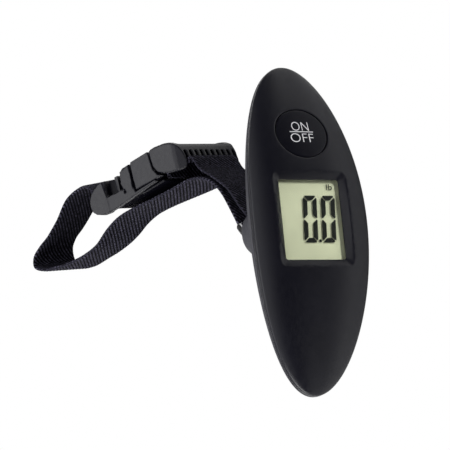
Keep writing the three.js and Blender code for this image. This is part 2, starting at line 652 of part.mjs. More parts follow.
const ROUTE = [
  inBuckle(61.2, -3.1),
  inBuckle(65.5, -3.4),
  inBuckle(71.4, -2.2),
  inBuckle(72.6, 0.6),
  [51, 154.6, 15.6, -2.4, 0],
  [58, 160.5, 13.8, -4, 0],
  [63, 168, 12.9, -6, -1],
  [64, 177, 12.6, -7, -1],
  [61.5, 187, 12.65, -7, -2],
  [54.5, 197, 12.65, -8, -3],
  [48.5, 207, 12.65, -8, -3],
  [45, 215, 12.65, -8, -2],
  [41, 219.5, 12.65, -7, -1],
  [35.5, 219, 12.65, -5, 0],
  [31, 211, 12.65, -3, 0],
  [29.5, 200, 12.65, -3, 0],
  [29.5, 188, 12.65, -5, 0],
  [30.5, 174, 12.65, -6, 0],
  [33, 162, 12.65, -6, 0],
  [37.5, 152, 12.65, -4, 0],
  [40.2, 142, 12.65, -2, 0],
  [41, 130, 12.65, -1, 0],
  [41, 115, 12.65, -1, 0],
  [41, 102, 12.65, -1, 0],
  [41.2, 92, 12.7, -1, 0],
  [41, 83, 12.9, -1, 0],
  [39.2, 74.6, 13.3, -1, 0],
  [35.8, 66.8, 13.8, -0.7, 0.8],
  [31.4, 60.4, 14.4, -0.4, 1.8],
  [25.6, 54.8, 15, 0, 3],
  [14.4, 46.2, 16.2, 0, 5.5],
  roundRing(124, 3.3),
  roundRing(190, 3.3),
  roundRing(220, 3.3),
  roundRing(250, 3.3),
  roundRing(305, 3.3),
  [18.5, 42.6, 16.2, 0, 5.5],
  [27.2, 50.4, 15.6, 0, 3],
  [35, 59.8, 15.8, -0.5, 1.5],
  [42.4, 69.6, 16.6, -1.6, 0],
  inBuckle(-2.5, -5.6),
  inBuckle(3, -5.3),
  inBuckle(6.1, -1.6),
  inBuckle(8.6, 2.9),
  inBuckle(12.2, 2.9),
  inBuckle(14.6, -0.4),
  inBuckle(15.8, -5),
  inBuckle(16, -8.6),
];

function webbing() {
  const places = new THREE.CatmullRomCurve3(
    ROUTE.map(([x, y, z]) => new THREE.Vector3(x, y, z + TABLE)), false, 'centripetal');
  const leans = ROUTE.map(([, , , leanX, leanY]) => new THREE.Vector3(leanX, leanY, 0));
  const rings = [];
  const perSpan = 3;
  const last = ROUTE.length - 1;
  for (let i = 0; i <= last * perSpan; i += 1) {
    const u = i / (last * perSpan);
    const span = Math.min(Math.floor(i / perSpan), last - 1);
    const lean = leans[span].clone().lerp(leans[span + 1], i / perSpan - span);
    const upright = new THREE.Vector3(lean.x, lean.y, Math.sqrt(STRAP_WIDTH ** 2 - lean.lengthSq()));
    upright.divideScalar(STRAP_WIDTH);
    const forward = places.getTangent(u);
    const out = new THREE.Vector3().crossVectors(forward, upright).normalize();
    const centre = places.getPoint(u);
    const corners = [[1, 1], [1, -1], [-1, -1], [-1, 1]];
    rings.push(corners.map(([i2, j]) => centre.clone()
      .addScaledVector(out, (i2 * STRAP_THICK) / 2)
      .addScaledVector(upright, (j * STRAP_WIDTH) / 2)));
  }
  return loft(rings);
}
add(group, 'webbing_strap', webbing(), LOOK.webbing);

// ---------------------------------------------------------------- origin
group.updateMatrixWorld(true);
const bounds = new THREE.Box3().setFromObject(group, true);
const centre = bounds.getCenter(new THREE.Vector3());
group.position.set(-centre.x, -centre.y, -bounds.min.z);
group.updateMatrixWorld(true);

export default group;
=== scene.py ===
"""The looks of a digital luggage scale: a bowed black case with a display and a round button, and
behind it a webbing loop with a side-release buckle. Shapes are worked out in millimetres, each in
the frame of the case, of the buckle or of the table, and go into the row frame in metres."""

import json
import math

import bmesh
import bpy
from mathutils import Matrix, Vector
from mathutils.geometry import delaunay_2d_cdt


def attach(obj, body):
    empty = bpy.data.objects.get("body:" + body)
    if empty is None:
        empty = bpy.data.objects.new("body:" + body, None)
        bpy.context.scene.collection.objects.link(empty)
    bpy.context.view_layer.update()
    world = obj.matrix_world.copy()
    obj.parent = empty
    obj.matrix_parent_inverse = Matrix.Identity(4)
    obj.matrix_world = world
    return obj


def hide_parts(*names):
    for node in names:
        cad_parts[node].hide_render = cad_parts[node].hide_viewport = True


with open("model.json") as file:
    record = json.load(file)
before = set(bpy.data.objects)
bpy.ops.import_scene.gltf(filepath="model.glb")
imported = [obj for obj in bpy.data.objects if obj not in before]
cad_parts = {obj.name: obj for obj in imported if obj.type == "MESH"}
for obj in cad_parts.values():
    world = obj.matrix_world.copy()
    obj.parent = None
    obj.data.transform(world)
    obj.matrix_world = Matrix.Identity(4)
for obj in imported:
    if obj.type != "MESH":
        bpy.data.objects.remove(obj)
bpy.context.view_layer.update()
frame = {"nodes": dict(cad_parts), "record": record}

# ---- frames
MM = 0.001
CASE_ORIGIN = Vector((0, -0.1062568, 0.0266164))
CASE_ROLL = math.radians(75)
ROUTE_ORIGIN = Vector((0, -0.1062568, -0.0000836))
STRAP_WIDTH = 25
STRAP_THICK = 1.8
BUCKLE_START = Vector((54.76, 78.14, 0))
BUCKLE_END = Vector((49.56, 148.14, 0))
BUCKLE_LEAN = math.radians(6)
BUCKLE_HALF = 16.5
BUCKLE_HEIGHT = BUCKLE_HALF * math.cos(BUCKLE_LEAN) + 8.4 * math.sin(BUCKLE_LEAN)


def framed(x_axis, y_axis, z_axis, origin):
    """The matrix from millimetres in a frame to metres in the row frame."""
    turn = Matrix((x_axis, y_axis, z_axis)).transposed().to_4x4()
    return Matrix.Translation(origin) @ turn @ Matrix.Scale(MM, 4)


def linked(name, data):
    """A new object in the scene."""
    made = bpy.data.objects.new(name, data)
    bpy.context.scene.collection.objects.link(made)
    return made


CASE_Y = Vector((0, math.cos(CASE_ROLL), math.sin(CASE_ROLL)))
CASE_Z = Vector((0, -math.sin(CASE_ROLL), math.cos(CASE_ROLL)))
CASE = framed(Vector((1, 0, 0)), CASE_Y, CASE_Z, CASE_ORIGIN)
ROUTE_FRAME = framed(Vector((1, 0, 0)), Vector((0, 1, 0)), Vector((0, 0, 1)), ROUTE_ORIGIN)

ALONG = (BUCKLE_END - BUCKLE_START).normalized()
ACROSS = Vector((ALONG.y, -ALONG.x, 0))
UP = Vector((0, 0, 1))
BUCKLE_Y = UP * math.cos(BUCKLE_LEAN) - ACROSS * math.sin(BUCKLE_LEAN)
BUCKLE_Z = ACROSS * math.cos(BUCKLE_LEAN) + UP * math.sin(BUCKLE_LEAN)
BUCKLE = framed(ALONG, BUCKLE_Y, BUCKLE_Z,
                ROUTE_ORIGIN + (BUCKLE_START + UP * BUCKLE_HEIGHT) * MM)

# ---- camera
CAMERA_RIGHT = Vector((-0.0926, -0.5853, -0.8055))
CAMERA_UP = Vector((0.9661, -0.2486, 0.0696))
CAMERA_FROM_CASE = Vector((-0.1916, -0.5971, 0.4993))

camera = linked("camera", bpy.data.cameras.new("camera"))
camera.data.sensor_width = 36
camera.data.lens = 157.75
back = CAMERA_RIGHT.cross(CAMERA_UP).normalized()
right = CAMERA_UP.cross(back).normalized()
turned = Matrix((right, back.cross(right), back)).transposed().to_4x4()
camera.matrix_world = Matrix.Translation(CASE_ORIGIN + CAMERA_FROM_CASE) @ turned
camera.data.clip_start = 0.05
camera.data.clip_end = 20
bpy.context.scene.camera = camera


# ---- materials
class Graph:
    """A node tree. An input is given as a value, or as the socket to take it from."""

    def __init__(self, owner, coordinates="Object"):
        self.owner = owner
        self.owner.use_nodes = True
        self.tree = self.owner.node_tree
        self.tree.nodes.clear()
        self.coordinates = self.node("ShaderNodeTexCoord").outputs[coordinates]

    def node(self, kind, inputs=None, **settings):
        made = self.tree.nodes.new(kind)
        for key, value in settings.items():
            setattr(made, key, value)
        for key, value in (inputs or {}).items():
            if isinstance(value, bpy.types.NodeSocket):
                self.tree.links.new(value, made.inputs[key])
            else:
                made.inputs[key].default_value = value
        return made

    def noise(self, scale, detail=3.0, vector=None, roughness=0.5):
        return self.node("ShaderNodeTexNoise", {
            "Vector": vector or self.coordinates, "Scale": scale, "Detail": detail, "Roughness": roughness,
        }).outputs["Fac"]

    def math(self, operation, a, b=0.0):
        return self.node("ShaderNodeMath", {0: a, 1: b}, operation=operation).outputs[0]

    def spread(self, value, low, high, from_low=0.3, from_high=0.7, **settings):
        """value from from_low..from_high to low..high."""
        return self.node("ShaderNodeMapRange", {
            "Value": value, "From Min": from_low, "From Max": from_high, "To Min": low, "To Max": high,
        }, **settings).outputs["Result"]

    def blend(self, factor, first, second):
        """Two colours mixed by a factor."""
        ramp = self.node("ShaderNodeValToRGB", {"Fac": factor})
        ramp.color_ramp.elements[0].position = 0.3
        ramp.color_ramp.elements[0].color = (*first, 1)
        ramp.color_ramp.elements[1].position = 0.7
        ramp.color_ramp.elements[1].color = (*second, 1)
        return ramp.outputs["Color"]

    def bump(self, height, distance, strength=1.0):
        inputs = {"Height": height, "Distance": distance, "Strength": strength}
        return self.node("ShaderNodeBump", inputs).outputs["Normal"]

    def white_to_camera(self, shader, kind):
        """A shader for what falls on the object, and plain white for what the camera sees directly."""
        plain = self.node(kind, {"Color": (1, 1, 1, 1), "Strength": WHITE}).outputs[0]
        seen = self.node("ShaderNodeLightPath").outputs["Is Camera Ray"]
        return self.node("ShaderNodeMixShader", {"Fac": seen, 1: shader, 2: plain}).outputs["Shader"]

    def finish(self, shader, output="ShaderNodeOutputMaterial"):
        self.node(output, {"Surface": shader})
        return self.owner

    def principled(self, **inputs):
        named = {key.replace("_", " "): value for key, value in inputs.items()}
        return self.node("ShaderNodeBsdfPrincipled", named).outputs["BSDF"]


def material_graph(name):
    return Graph(bpy.data.materials.new(name))


def moulded_plastic(name, dark, light, rough, grain=2600, depth=0.000006, specular=0.35):
    """Moulded plastic: fine spark-eroded grain, faint clouding and a rubbed, uneven sheen."""
    graph = material_graph(name)
    cloud = graph.noise(60, 4)
    fine = graph.noise(grain, 2)
    roughness = graph.spread(graph.noise(420, 4), rough[0], rough[1])
    return graph.finish(graph.principled(
        Base_Color=graph.blend(cloud, dark, light), Roughness=roughness, IOR=1.5,
        Specular_IOR_Level=specular, Normal=graph.bump(fine, depth, 0.8)))


def plated_metal(name, dark, light, rough, scale=900):
    """Metal with faint polishing marks and uneven brightness."""
    graph = material_graph(name)
    marks = graph.noise(scale, 6, roughness=0.65)
    return graph.finish(graph.principled(
        Base_Color=graph.blend(graph.noise(160, 3), dark, light), Metallic=1.0,
        Roughness=graph.spread(marks, rough[0], rough[1]), Normal=graph.bump(marks, 0.000004, 0.6)))


def clear_layer(name, tint, gloss_rough, straight):
    """A clear layer over what lies under it. It mirrors little straight on, and more at low angles."""
    graph = material_graph(name)
    haze = graph.blend(graph.noise(90, 3), tint, tuple(min(1, c * 1.02) for c in tint))
    clear = graph.node("ShaderNodeBsdfTransparent", {"Color": haze}).outputs["BSDF"]
    smear = graph.spread(graph.noise(200, 4), gloss_rough * 0.7, gloss_rough * 1.4)
    gloss = graph.node("ShaderNodeBsdfGlossy", {"Roughness": smear}).outputs["BSDF"]
    slant = graph.math("POWER", graph.node("ShaderNodeLayerWeight", {"Blend": 0.5}).outputs["Facing"], 5.0)
    edge = graph.math("ADD", graph.math("MULTIPLY", slant, 0.6), straight)
    mixed = graph.node("ShaderNodeMixShader", {"Fac": edge, 1: clear, 2: gloss}).outputs["Shader"]
    return graph.finish(mixed)


def circuit_laminate(name):
    """Green solder mask over copper tracks that just show through."""
    graph = material_graph(name)
    bricks = graph.node("ShaderNodeTexBrick", {
        "Vector": graph.coordinates, "Scale": 420.0, "Color1": (0.010, 0.070, 0.030, 1),
        "Color2": (0.012, 0.085, 0.036, 1), "Mortar": (0.030, 0.150, 0.060, 1), "Mortar Size": 0.06,
    })
    return graph.finish(graph.principled(
        Base_Color=bricks.outputs["Color"], Roughness=graph.spread(graph.noise(500, 3), 0.25, 0.4),
        Normal=graph.bump(bricks.outputs["Fac"], 0.00002, 0.4)))


def layered_rubber(name):
    """Elastomer with fine conducting layers."""
    graph = material_graph(name)
    wave = graph.node("ShaderNodeTexWave", {
        "Vector": graph.coordinates, "Scale": 900.0, "Distortion": 0.4, "Detail": 2.0,
    }, bands_direction="X").outputs["Fac"]
    layers = graph.blend(wave, (0.30, 0.16, 0.22), (0.02, 0.015, 0.02))
    return graph.finish(graph.principled(
        Base_Color=layers, Roughness=graph.spread(wave, 0.55, 0.8), Normal=graph.bump(wave, 0.00001)))


RIB_LENGTH = 2.6
RIB_WIDTH = 1.9
WARP_PITCH = 0.9
WEFT_PITCH = 0.7
TWIST_PITCH = 0.45


def woven_webbing(name):
    """Black nylon webbing: slanting ribs with painted shade darkening their valleys in the colour, yarns that
    cross in them, and dull specks.
    The map's first axis is the length along the strap and its second the place across it, in mm."""
    graph = material_graph(name)
    uv = graph.node("ShaderNodeUVMap", uv_map="yarn").outputs["UV"]
    split = graph.node("ShaderNodeSeparateXYZ", {"Vector": uv})
    length, width = split.outputs["X"], split.outputs["Y"]

    def stripes(value, pitch):
        return graph.math("SINE", graph.math("MULTIPLY", value, 2 * math.pi / pitch))

    crossing = graph.math("MULTIPLY", stripes(width, WARP_PITCH), stripes(length, WEFT_PITCH))
    slanting = graph.math("ADD", length, graph.math("MULTIPLY", width, 2.2))
    twist = graph.math("MULTIPLY", stripes(slanting, TWIST_PITCH), 0.35)
    fibres = graph.noise(2.4, 5, vector=uv, roughness=0.7)
    yarns = graph.math("ADD", crossing, twist)
    height = graph.math("ADD", yarns, graph.math("MULTIPLY", fibres, 0.8))

    # The ribs change the base colour: painted shade in their valleys and painted light on their crests, times
    # random specks.
    along = graph.math("DIVIDE", length, RIB_LENGTH)
    rib = stripes(graph.math("ADD", along, graph.math("DIVIDE", width, RIB_WIDTH)), 1)
    specks = graph.spread(graph.noise(0.85, 3, vector=uv, roughness=0.65), 0.15, 2.0, 0.36, 0.64)
    painted_rib_shade_and_specks = graph.math("MULTIPLY", graph.spread(rib, 0.05, 2.0, -0.7, 0.8), specks)
    grey = graph.node("ShaderNodeCombineXYZ", {"X": painted_rib_shade_and_specks, "Y": painted_rib_shade_and_specks, "Z": painted_rib_shade_and_specks}).outputs[0]
    dust = graph.blend(graph.noise(0.35, 5, vector=uv), (0.0110, 0.0105, 0.0165), (0.0250, 0.0240, 0.0340))
    dust_and_painted_rib_shade = graph.node("ShaderNodeVectorMath", {0: dust, 1: grey}, operation="MULTIPLY").outputs[0]
    return graph.finish(graph.principled(
        Base_Color=dust_and_painted_rib_shade, Roughness=graph.spread(fibres, 0.62, 0.85), Specular_IOR_Level=0.03,
        Sheen_Weight=0.01, Sheen_Roughness=0.4, Sheen_Tint=(0.78, 0.76, 0.90, 1),
        Normal=graph.bump(height, 0.00006, 0.8)))


# Each moulded plastic's dark and light tint, its range of roughness, and what differs from the usual.
PLASTICS = {
    "case_front": ((0.0028, 0.0028, 0.0056), (0.0038, 0.0038, 0.0072), (0.32, 0.42), {"specular": 0.46}),
    # The rear's tint is lighter than the front's black. The difference is painted light, standing in for its
    # side wall, which lies lit along the case's edge.
    "case_rear": ((0.0230, 0.0230, 0.0285), (0.0310, 0.0310, 0.0370), (0.40, 0.55),
                  {"grain": 1500, "depth": 0.000020}),
    "button": ((0.0028, 0.0028, 0.0052), (0.0038, 0.0038, 0.0066), (0.28, 0.36), {"specular": 0.20}),
    "lcd_ink": ((0.014, 0.015, 0.015), (0.020, 0.021, 0.020), (0.5, 0.6), {"specular": 0.05}),
    "reflector_film": ((0.77, 0.75, 0.575), (0.80, 0.78, 0.605), (0.55, 0.65), {"grain": 3200}),
    "white_print": ((0.60, 0.60, 0.63), (0.68, 0.68, 0.71), (0.45, 0.6), {}),
    "black_epoxy": ((0.006, 0.006, 0.006), (0.012, 0.012, 0.012), (0.15, 0.4), {"grain": 700}),
    "gauge_foil": ((0.34, 0.13, 0.03), (0.46, 0.20, 0.06), (0.2, 0.35), {"grain": 1800}),
    "lead_insulation": ((0.42, 0.03, 0.02), (0.55, 0.05, 0.04), (0.35, 0.5), {"grain": 1200}),
    "buckle_plastic": ((0.0030, 0.0030, 0.0058), (0.0046, 0.0046, 0.0080), (0.24, 0.34),
                       {"grain": 2000, "depth": 0.000008, "specular": 0.36}),
}
MATERIALS = {name: moulded_plastic(name, dark, light, rough, **more)
             for name, (dark, light, rough, more) in PLASTICS.items()}
MATERIALS.update({
    "clear_window": clear_layer("clear_window", (0.97, 0.98, 0.97), 0.03, 0.009),
    "lcd": clear_layer("lcd", (0.95, 0.96, 0.94), 0.05, 0.002),
    "cell_alloy": plated_metal("cell_alloy", (0.42, 0.43, 0.44), (0.54, 0.55, 0.56), (0.3, 0.5), 1400),
    "plated_steel": plated_metal("plated_steel", (0.50, 0.50, 0.51), (0.60, 0.60, 0.62), (0.12, 0.24)),
    "zebra_rubber": layered_rubber("zebra_rubber"),
    "circuit_board": circuit_laminate("circuit_board"),
    "webbing": woven_webbing("webbing"),
})


# ---- mesh helpers
class Shape:
    """Points in millimetres and the faces between them."""

    def __init__(self):
        self.points = []
        self.faces = []

    def ring(self, points):
        start = len(self.points)
        self.points.extend(Vector(point) for point in points)
        return list(range(start, len(self.points)))

    def bridge(self, first, second):
        count = len(first)
        for i in range(count):
            j = (i + 1) % count
            self.faces.append((first[i], first[j], second[j], second[i]))

    def rings(self, rows, start=None):
        """Rows of points joined one after another; returns the last ring."""
        last = start
        for row in rows:
            ring = self.ring(row)
            if last is not None:
                self.bridge(last, ring)
            last = ring
        return last

    def cap(self, ring):
        """Closes a ring with triangles to its middle."""
        middle = sum((self.points[i] for i in ring), Vector()) / len(ring)
        self.points.append(middle)
        centre = len(self.points) - 1
        for i, index in enumerate(ring):
            self.faces.append((index, ring[(i + 1) % len(ring)], centre))

    def closed(self, rows):
        """Rows joined one after another, with a face at each end."""
        start = len(self.points)
        last = self.rings(rows)
        self.faces.append(tuple(reversed(range(start, start + len(rows[0])))))
        self.faces.append(tuple(last))

    def prism(self, outline, low, high):
        """An outline of (x, y) between two heights."""
        self.closed([[(x, y, z) for x, y in outline] for z in (low, high)])

    def side_prism(self, outline, low, high):
        """An outline of (x, z) between two places along y."""
        self.closed([[(x, y, z) for x, z in outline] for y in (low, high)])

    def box(self, low, high):
        corners = [(low[0], low[1]), (high[0], low[1]), (high[0], high[1]), (low[0], high[1])]
        self.prism(corners, low[2], high[2])

    def mesh(self, name, matrix, sharp=35):
        mesh = bpy.data.meshes.new(name)
        mesh.from_pydata([matrix @ point for point in self.points], [], self.faces)
        tidy = bmesh.new()
        tidy.from_mesh(mesh)
        bmesh.ops.recalc_face_normals(tidy, faces=tidy.faces)
        tidy.to_mesh(mesh)
        tidy.free()
        mesh.shade_smooth()
        mesh.set_sharp_from_angle(angle=math.radians(sharp))
        mesh.validate()
        return mesh


REPLACED = set()


def piece(name, mesh, body, slot, nodes=(), material=None):
    """A finished mesh as a piece on a body, in place of the CAD nodes that are named."""
    made = linked(name, mesh)
    mesh.materials.clear()
    mesh.materials.append(MATERIALS[material or slot])
    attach(made, body)
    if nodes:
        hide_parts(*nodes)
        REPLACED.update(nodes)


def applied(made):
    """An object's mesh with its modifiers worked in; the object goes."""
    graph = bpy.context.evaluated_depsgraph_get()
    mesh = bpy.data.meshes.new_from_object(made.evaluated_get(graph), depsgraph=graph)
    mesh.name = made.name
    bpy.data.objects.remove(made)
    return mesh


MOULDING_KEPT = 0.4  # the share of a moulding's triangles that is kept
MOULDING_CREASE = math.radians(60)


def moulded(name, body, cuts, voxel=0.4, smooth=4):
    """Solids in the buckle's frame, less the cuts, with the small rounded corners of a moulding."""
    work = linked(name, body.mesh(name, Matrix.Identity(4)))

    def remesh(label):
        union = work.modifiers.new(label, "REMESH")
        union.mode = "VOXEL"
        union.voxel_size = voxel

    remesh("union")
    cutter = None
    if cuts is not None:
        cutter = linked("cutter", cuts.mesh("cutter", Matrix.Identity(4)))
        boolean = work.modifiers.new("cut", "BOOLEAN")
        boolean.object = cutter
        boolean.operation = "DIFFERENCE"
        boolean.solver = "EXACT"
        remesh("again")
    soften = work.modifiers.new("soften", "SMOOTH")
    soften.factor = 0.5
    soften.iterations = smooth
    thin = work.modifiers.new("thin", "DECIMATE")
    thin.ratio = MOULDING_KEPT
    mesh = applied(work)
    if cutter:
        bpy.data.objects.remove(cutter)
    mesh.transform(BUCKLE)
    mesh.shade_smooth()
    mesh.set_sharp_from_angle(angle=MOULDING_CREASE)
    return mesh


def rounded_rectangle(length, width, radius, side=10, corner=7):
    """Points round a rectangle with round corners; the count doesn't depend on its size."""
    half_x, half_y = length / 2 - radius, width / 2 - radius
    quarters = ((1, 1), (-1, 1), (-1, -1), (1, -1))

    def on_corner(sign_x, sign_y, angle):
        return (sign_x * half_x + radius * math.cos(angle), sign_y * half_y + radius * math.sin(angle))

    points = []
    for k, signs in enumerate(quarters):
        for i in range(corner):
            points.append(on_corner(*signs, math.pi / 2 * (k + i / (corner - 1))))
        begin = points[-1]
        end = on_corner(*quarters[(k + 1) % 4], math.pi / 2 * (k + 1))
        for i in range(1, side):
            points.append(tuple(a + (b - a) * i / side for a, b in zip(begin, end)))
    return points


def rectangle_distance(x, y, length, width, radius):
    """How far a point lies outside a rounded rectangle."""
    dx = abs(x) - length / 2 + radius
    dy = abs(y) - width / 2 + radius
    return math.hypot(max(dx, 0), max(dy, 0)) + min(max(dx, dy), 0) - radius


GUIDE_CLEARANCE = 0.05
GRID_CLEARANCE = 0.55
MERGED = 1e-5
ON_EDGE = -0.002


def surface(shape, outline, holes, inside, height, spacing, guides=()):
    """Triangles between an outline and holes, lifted to a height. Points come from the guides and from a
    triangular grid, where they are clear of the edges. Returns the outline's ring and each hole's ring."""
    points, loops, edges = [], [], []
    for ring in (outline, *holes):
        loop = list(range(len(points), len(points) + len(ring)))
        loops.append(loop)
        edges.extend(zip(loop, loop[1:] + loop[:1]))
        points.extend(Vector(p) for p in ring)
    points.extend(Vector(p) for p in guides if inside(p[0], p[1]) > GUIDE_CLEARANCE)
    high_x = max(p[0] for p in outline)
    high_y = max(p[1] for p in outline)
    row_step = spacing * math.sqrt(3) / 2
    rows = int(high_y / row_step) + 1
    columns = int(high_x / spacing) + 1
    for j in range(-rows, rows + 1):
        for i in range(-columns, columns + 1):
            x = (i + (j % 2) / 2) * spacing
            y = j * row_step
            if inside(x, y) > spacing * GRID_CLEARANCE:
                points.append(Vector((x, y)))
    found, _, faces, sources, _, _ = delaunay_2d_cdt(points, edges, [], 0, MERGED, True)
    start = len(shape.points)
    index = {}
    for new, olds in enumerate(sources):
        for old in olds:
            index[old] = start + new
    shape.points.extend(Vector((p.x, p.y, height(p.x, p.y))) for p in found)
    for face in faces:
        cx = sum(found[i].x for i in face) / 3
        cy = sum(found[i].y for i in face) / 3
        if inside(cx, cy) > ON_EDGE:
            shape.faces.append(tuple(start + i for i in face))
    return [[index[i] for i in loop] for loop in loops]


# ---- case surfaces
HALF_LENGTH = 70
HALF_WIDTH = 25.2
CROWN = 4.6
WALL = 2.3
FACE_INSET = 0.22
REAR_INSET = 1.6
JOINT_GAP = 0.15
BUTTON_X = 37.2
BUTTON_R = 11.25
BUTTON_HOLE_R = 11.6
RECESS = (39, 31.5, 2.2)
WINDOW = (33.7, 26.7, 1.2)
WINDOW_Z = 1.36
PANE = (33.5, 26.5, 1.1)
PANE_SEAT = (36.5, 29.5, 1.2)
PANE_SEAT_Z = 0.96
DISPLAY_FRAME = (43.4, 35.9, 2.5)
DISPLAY_FRAME_Z = -0.6
COLLAR_R = 12.9
SOFTENED_RECESS = (0.7, 0.28)
SOFTENED_BUTTON = (0.4, 0.14)


def edge_height(x):
    """The level of the face's outer edge, which falls away towards the ends."""
    t2 = (x / HALF_LENGTH) ** 2
    return -15.05 * t2 + 2.04 * t2 * t2


def rear_height(x):
    """The level of the rear's flat back."""
    t2 = (x / HALF_LENGTH) ** 2
    return -7.5 - 7.7 * t2 - 2.0 * t2 * t2


def parting_height(x):
    """The level at which the two shells meet."""
    return edge_height(x) - 0.45 * (edge_height(x) - rear_height(x))


def smooth_face(x, y):
    """The face before its openings: a pillow that rolls over at the edge."""
    width = HALF_WIDTH * math.sqrt(max(1 - (x / HALF_LENGTH) ** 2, 0))
    across = min(abs(y) / width, 1) if width > 0.01 else 0
    return edge_height(x) + CROWN * (width / HALF_WIDTH) * (1 - across ** 4) ** 0.8


SLOPE = math.atan((smooth_face(BUTTON_X - 1, 0) - smooth_face(BUTTON_X + 1, 0)) / 2)
BUTTON_PLACE = Vector((BUTTON_X, 0, smooth_face(BUTTON_X, 0)))
BUTTON_LOCAL = Matrix.Translation(BUTTON_PLACE) @ Matrix.Rotation(SLOPE, 4, "Y")
BUTTON_FRAME = CASE @ BUTTON_LOCAL
TO_BUTTON = BUTTON_LOCAL.inverted()


def button_distance(x, y):
    """How far a point of the face lies from the button's axis."""
    local = TO_BUTTON @ Vector((x, y, smooth_face(x, y)))
    return math.hypot(local.x, local.y)


def softened(distance, edge):
    """How far the face drops at a distance from an edge that is rounded over a (width, depth)."""
    width, depth = edge
    if distance >= width:
        return 0.0
    return depth * (1 - max(distance, 0) / width) ** 2


def face_height(x, y):
    """The face, softened where it turns into the recess and the button's hole."""
    to_recess = rectangle_distance(x, y, *RECESS)
    to_button = button_distance(x, y) - BUTTON_HOLE_R
    return smooth_face(x, y) - softened(to_recess, SOFTENED_RECESS) - softened(to_button, SOFTENED_BUTTON)


def rim(inset, height, count=320):
    """A ring of the case's outline, moved in by inset, at a height that depends on x and y."""
    ring = []
    for i in range(count):
        angle = 2 * math.pi * i / count
        x, y = HALF_LENGTH * math.cos(angle), HALF_WIDTH * math.sin(angle)
        normal = Vector((x / HALF_LENGTH ** 2, y / HALF_WIDTH ** 2)).normalized()
        px, py = x - normal.x * inset, y - normal.y * inset
        ring.append((px, py, height(px, py)))
    return ring


def inset_share(x, y, inset):
    """Positive inside the outline that is moved in by about inset, in millimetres."""
    a, b = HALF_LENGTH - inset, HALF_WIDTH - inset
    value = math.hypot(x / a, y / b)
    if value < 1e-6:
        return b
    slope = math.hypot(x / a ** 2, y / b ** 2) / value
    return (1 - value) / slope


def flat_rim(inset):
    return [(x, y) for x, y, _ in rim(inset, lambda x, y: 0)]


def over_edge(rise):
    return lambda x, y: edge_height(x) + rise


def over_joint(rise):
    return lambda x, y: parting_height(x) + rise


def over_rear(rise):
    return lambda x, y: rear_height(x) + rise


def circle(radius, count=96, x=0.0, y=0.0):
    angles = [2 * math.pi * i / count for i in range(count)]
    return [(x + radius * math.cos(angle), y + radius * math.sin(angle)) for angle in angles]


def button_ring(radius, height):
    """A ring round the button's axis, at a height along it."""
    return [BUTTON_LOCAL @ Vector((u, v, height)) for u, v in circle(radius)]


def face_ring(radius):
    """The ring round the button's axis that lies on the face, found in a few steps along the axis."""
    ring = []
    for u, v in circle(radius):
        height = 0.0
        for _ in range(6):
            place = BUTTON_LOCAL @ Vector((u, v, height))
            height += smooth_face(place.x, place.y) - place.z
        ring.append(BUTTON_LOCAL @ Vector((u, v, height)))
    return ring


def flat_face_ring(radius):
    return [(place.x, place.y) for place in face_ring(radius)]


# ---- front shell
def front_inside(x, y):
    """Positive on the face, clear of its edge, the recess and the button's hole."""
    to_recess = rectangle_distance(x, y, *RECESS)
    return min(inset_share(x, y, FACE_INSET), to_recess, button_distance(x, y) - BUTTON_HOLE_R)


def front_inner(x, y):
    """The same for the shell's inner side."""
    to_frame = rectangle_distance(x, y, *DISPLAY_FRAME)
    return min(inset_share(x, y, WALL), to_frame, button_distance(x, y) - COLLAR_R)


def under_face(x, y):
    joint = parting_height(x)
    return joint + 0.75 * (smooth_face(x, y) - joint)


def recess_walls():
    """Rings from the face down the recess's slopes, through the window and out under the frame."""
    steps = 6
    walls = []
    for i in range(1, steps + 1):
        share = i / steps
        size = [RECESS[k] + (WINDOW[k] - RECESS[k]) * share for k in range(3)]
        row = []
        for x, y in rounded_rectangle(*size):
            top = face_height(x, y)
            row.append((x, y, top + (WINDOW_Z - top) * share))
        walls.append(row)
    lip = (WINDOW[0] - 0.12, WINDOW[1] - 0.12, 1.1)
    for size, z in ((lip, WINDOW_Z - 0.12), (PANE, PANE_SEAT_Z), (PANE_SEAT, PANE_SEAT_Z),
                    (PANE_SEAT, DISPLAY_FRAME_Z), (DISPLAY_FRAME, DISPLAY_FRAME_Z)):
        walls.append([(x, y, z) for x, y in rounded_rectangle(*size)])
    return walls


def front_shell():
    shape = Shape()
    guides = []
    for inset in (0.4, 0.62, 0.95, 1.5, 2.3):
        guides.extend(flat_rim(inset))
    for grow in (0.2, 0.42, 0.72, 1.2):
        guides.extend(rounded_rectangle(RECESS[0] + 2 * grow, RECESS[1] + 2 * grow, RECESS[2] + grow))
    for grow in (0.14, 0.4, 0.9):
        guides.extend(flat_face_ring(BUTTON_HOLE_R + grow))
    holes = [rounded_rectangle(*RECESS), flat_face_ring(BUTTON_HOLE_R)]
    loops = surface(shape, flat_rim(FACE_INSET), holes, front_inside, face_height, 1.3, guides)

    side = shape.rings([
        rim(0.1, over_edge(0.12)), rim(0.02, over_edge(-0.06)), rim(0, over_edge(-0.3)),
        rim(0, over_edge(-1.2)), rim(0, over_joint(0.35)), rim(0.06, over_joint(0.2)),
        rim(0.2, over_joint(JOINT_GAP)), rim(0.75, over_joint(JOINT_GAP)), rim(0.75, over_joint(0.9)),
        rim(WALL, over_joint(0.9)),
    ], loops[0])
    window = shape.rings(recess_walls(), loops[1])
    collar = shape.rings([
        button_ring(BUTTON_HOLE_R, -0.9), button_ring(BUTTON_HOLE_R, -3.2), button_ring(COLLAR_R, -3.2),
    ], loops[2])

    inner_holes = [rounded_rectangle(*DISPLAY_FRAME), flat_face_ring(COLLAR_R)]
    inner_loops = surface(shape, flat_rim(WALL), inner_holes, front_inner, under_face, 3.0)
    for outer, inner in zip((side, window, collar), inner_loops):
        shape.bridge(outer, inner)
    return shape.mesh("front_shell", CASE, 32)


piece("front_shell_moulding", front_shell(), "case", "case_front", ["front_shell"])

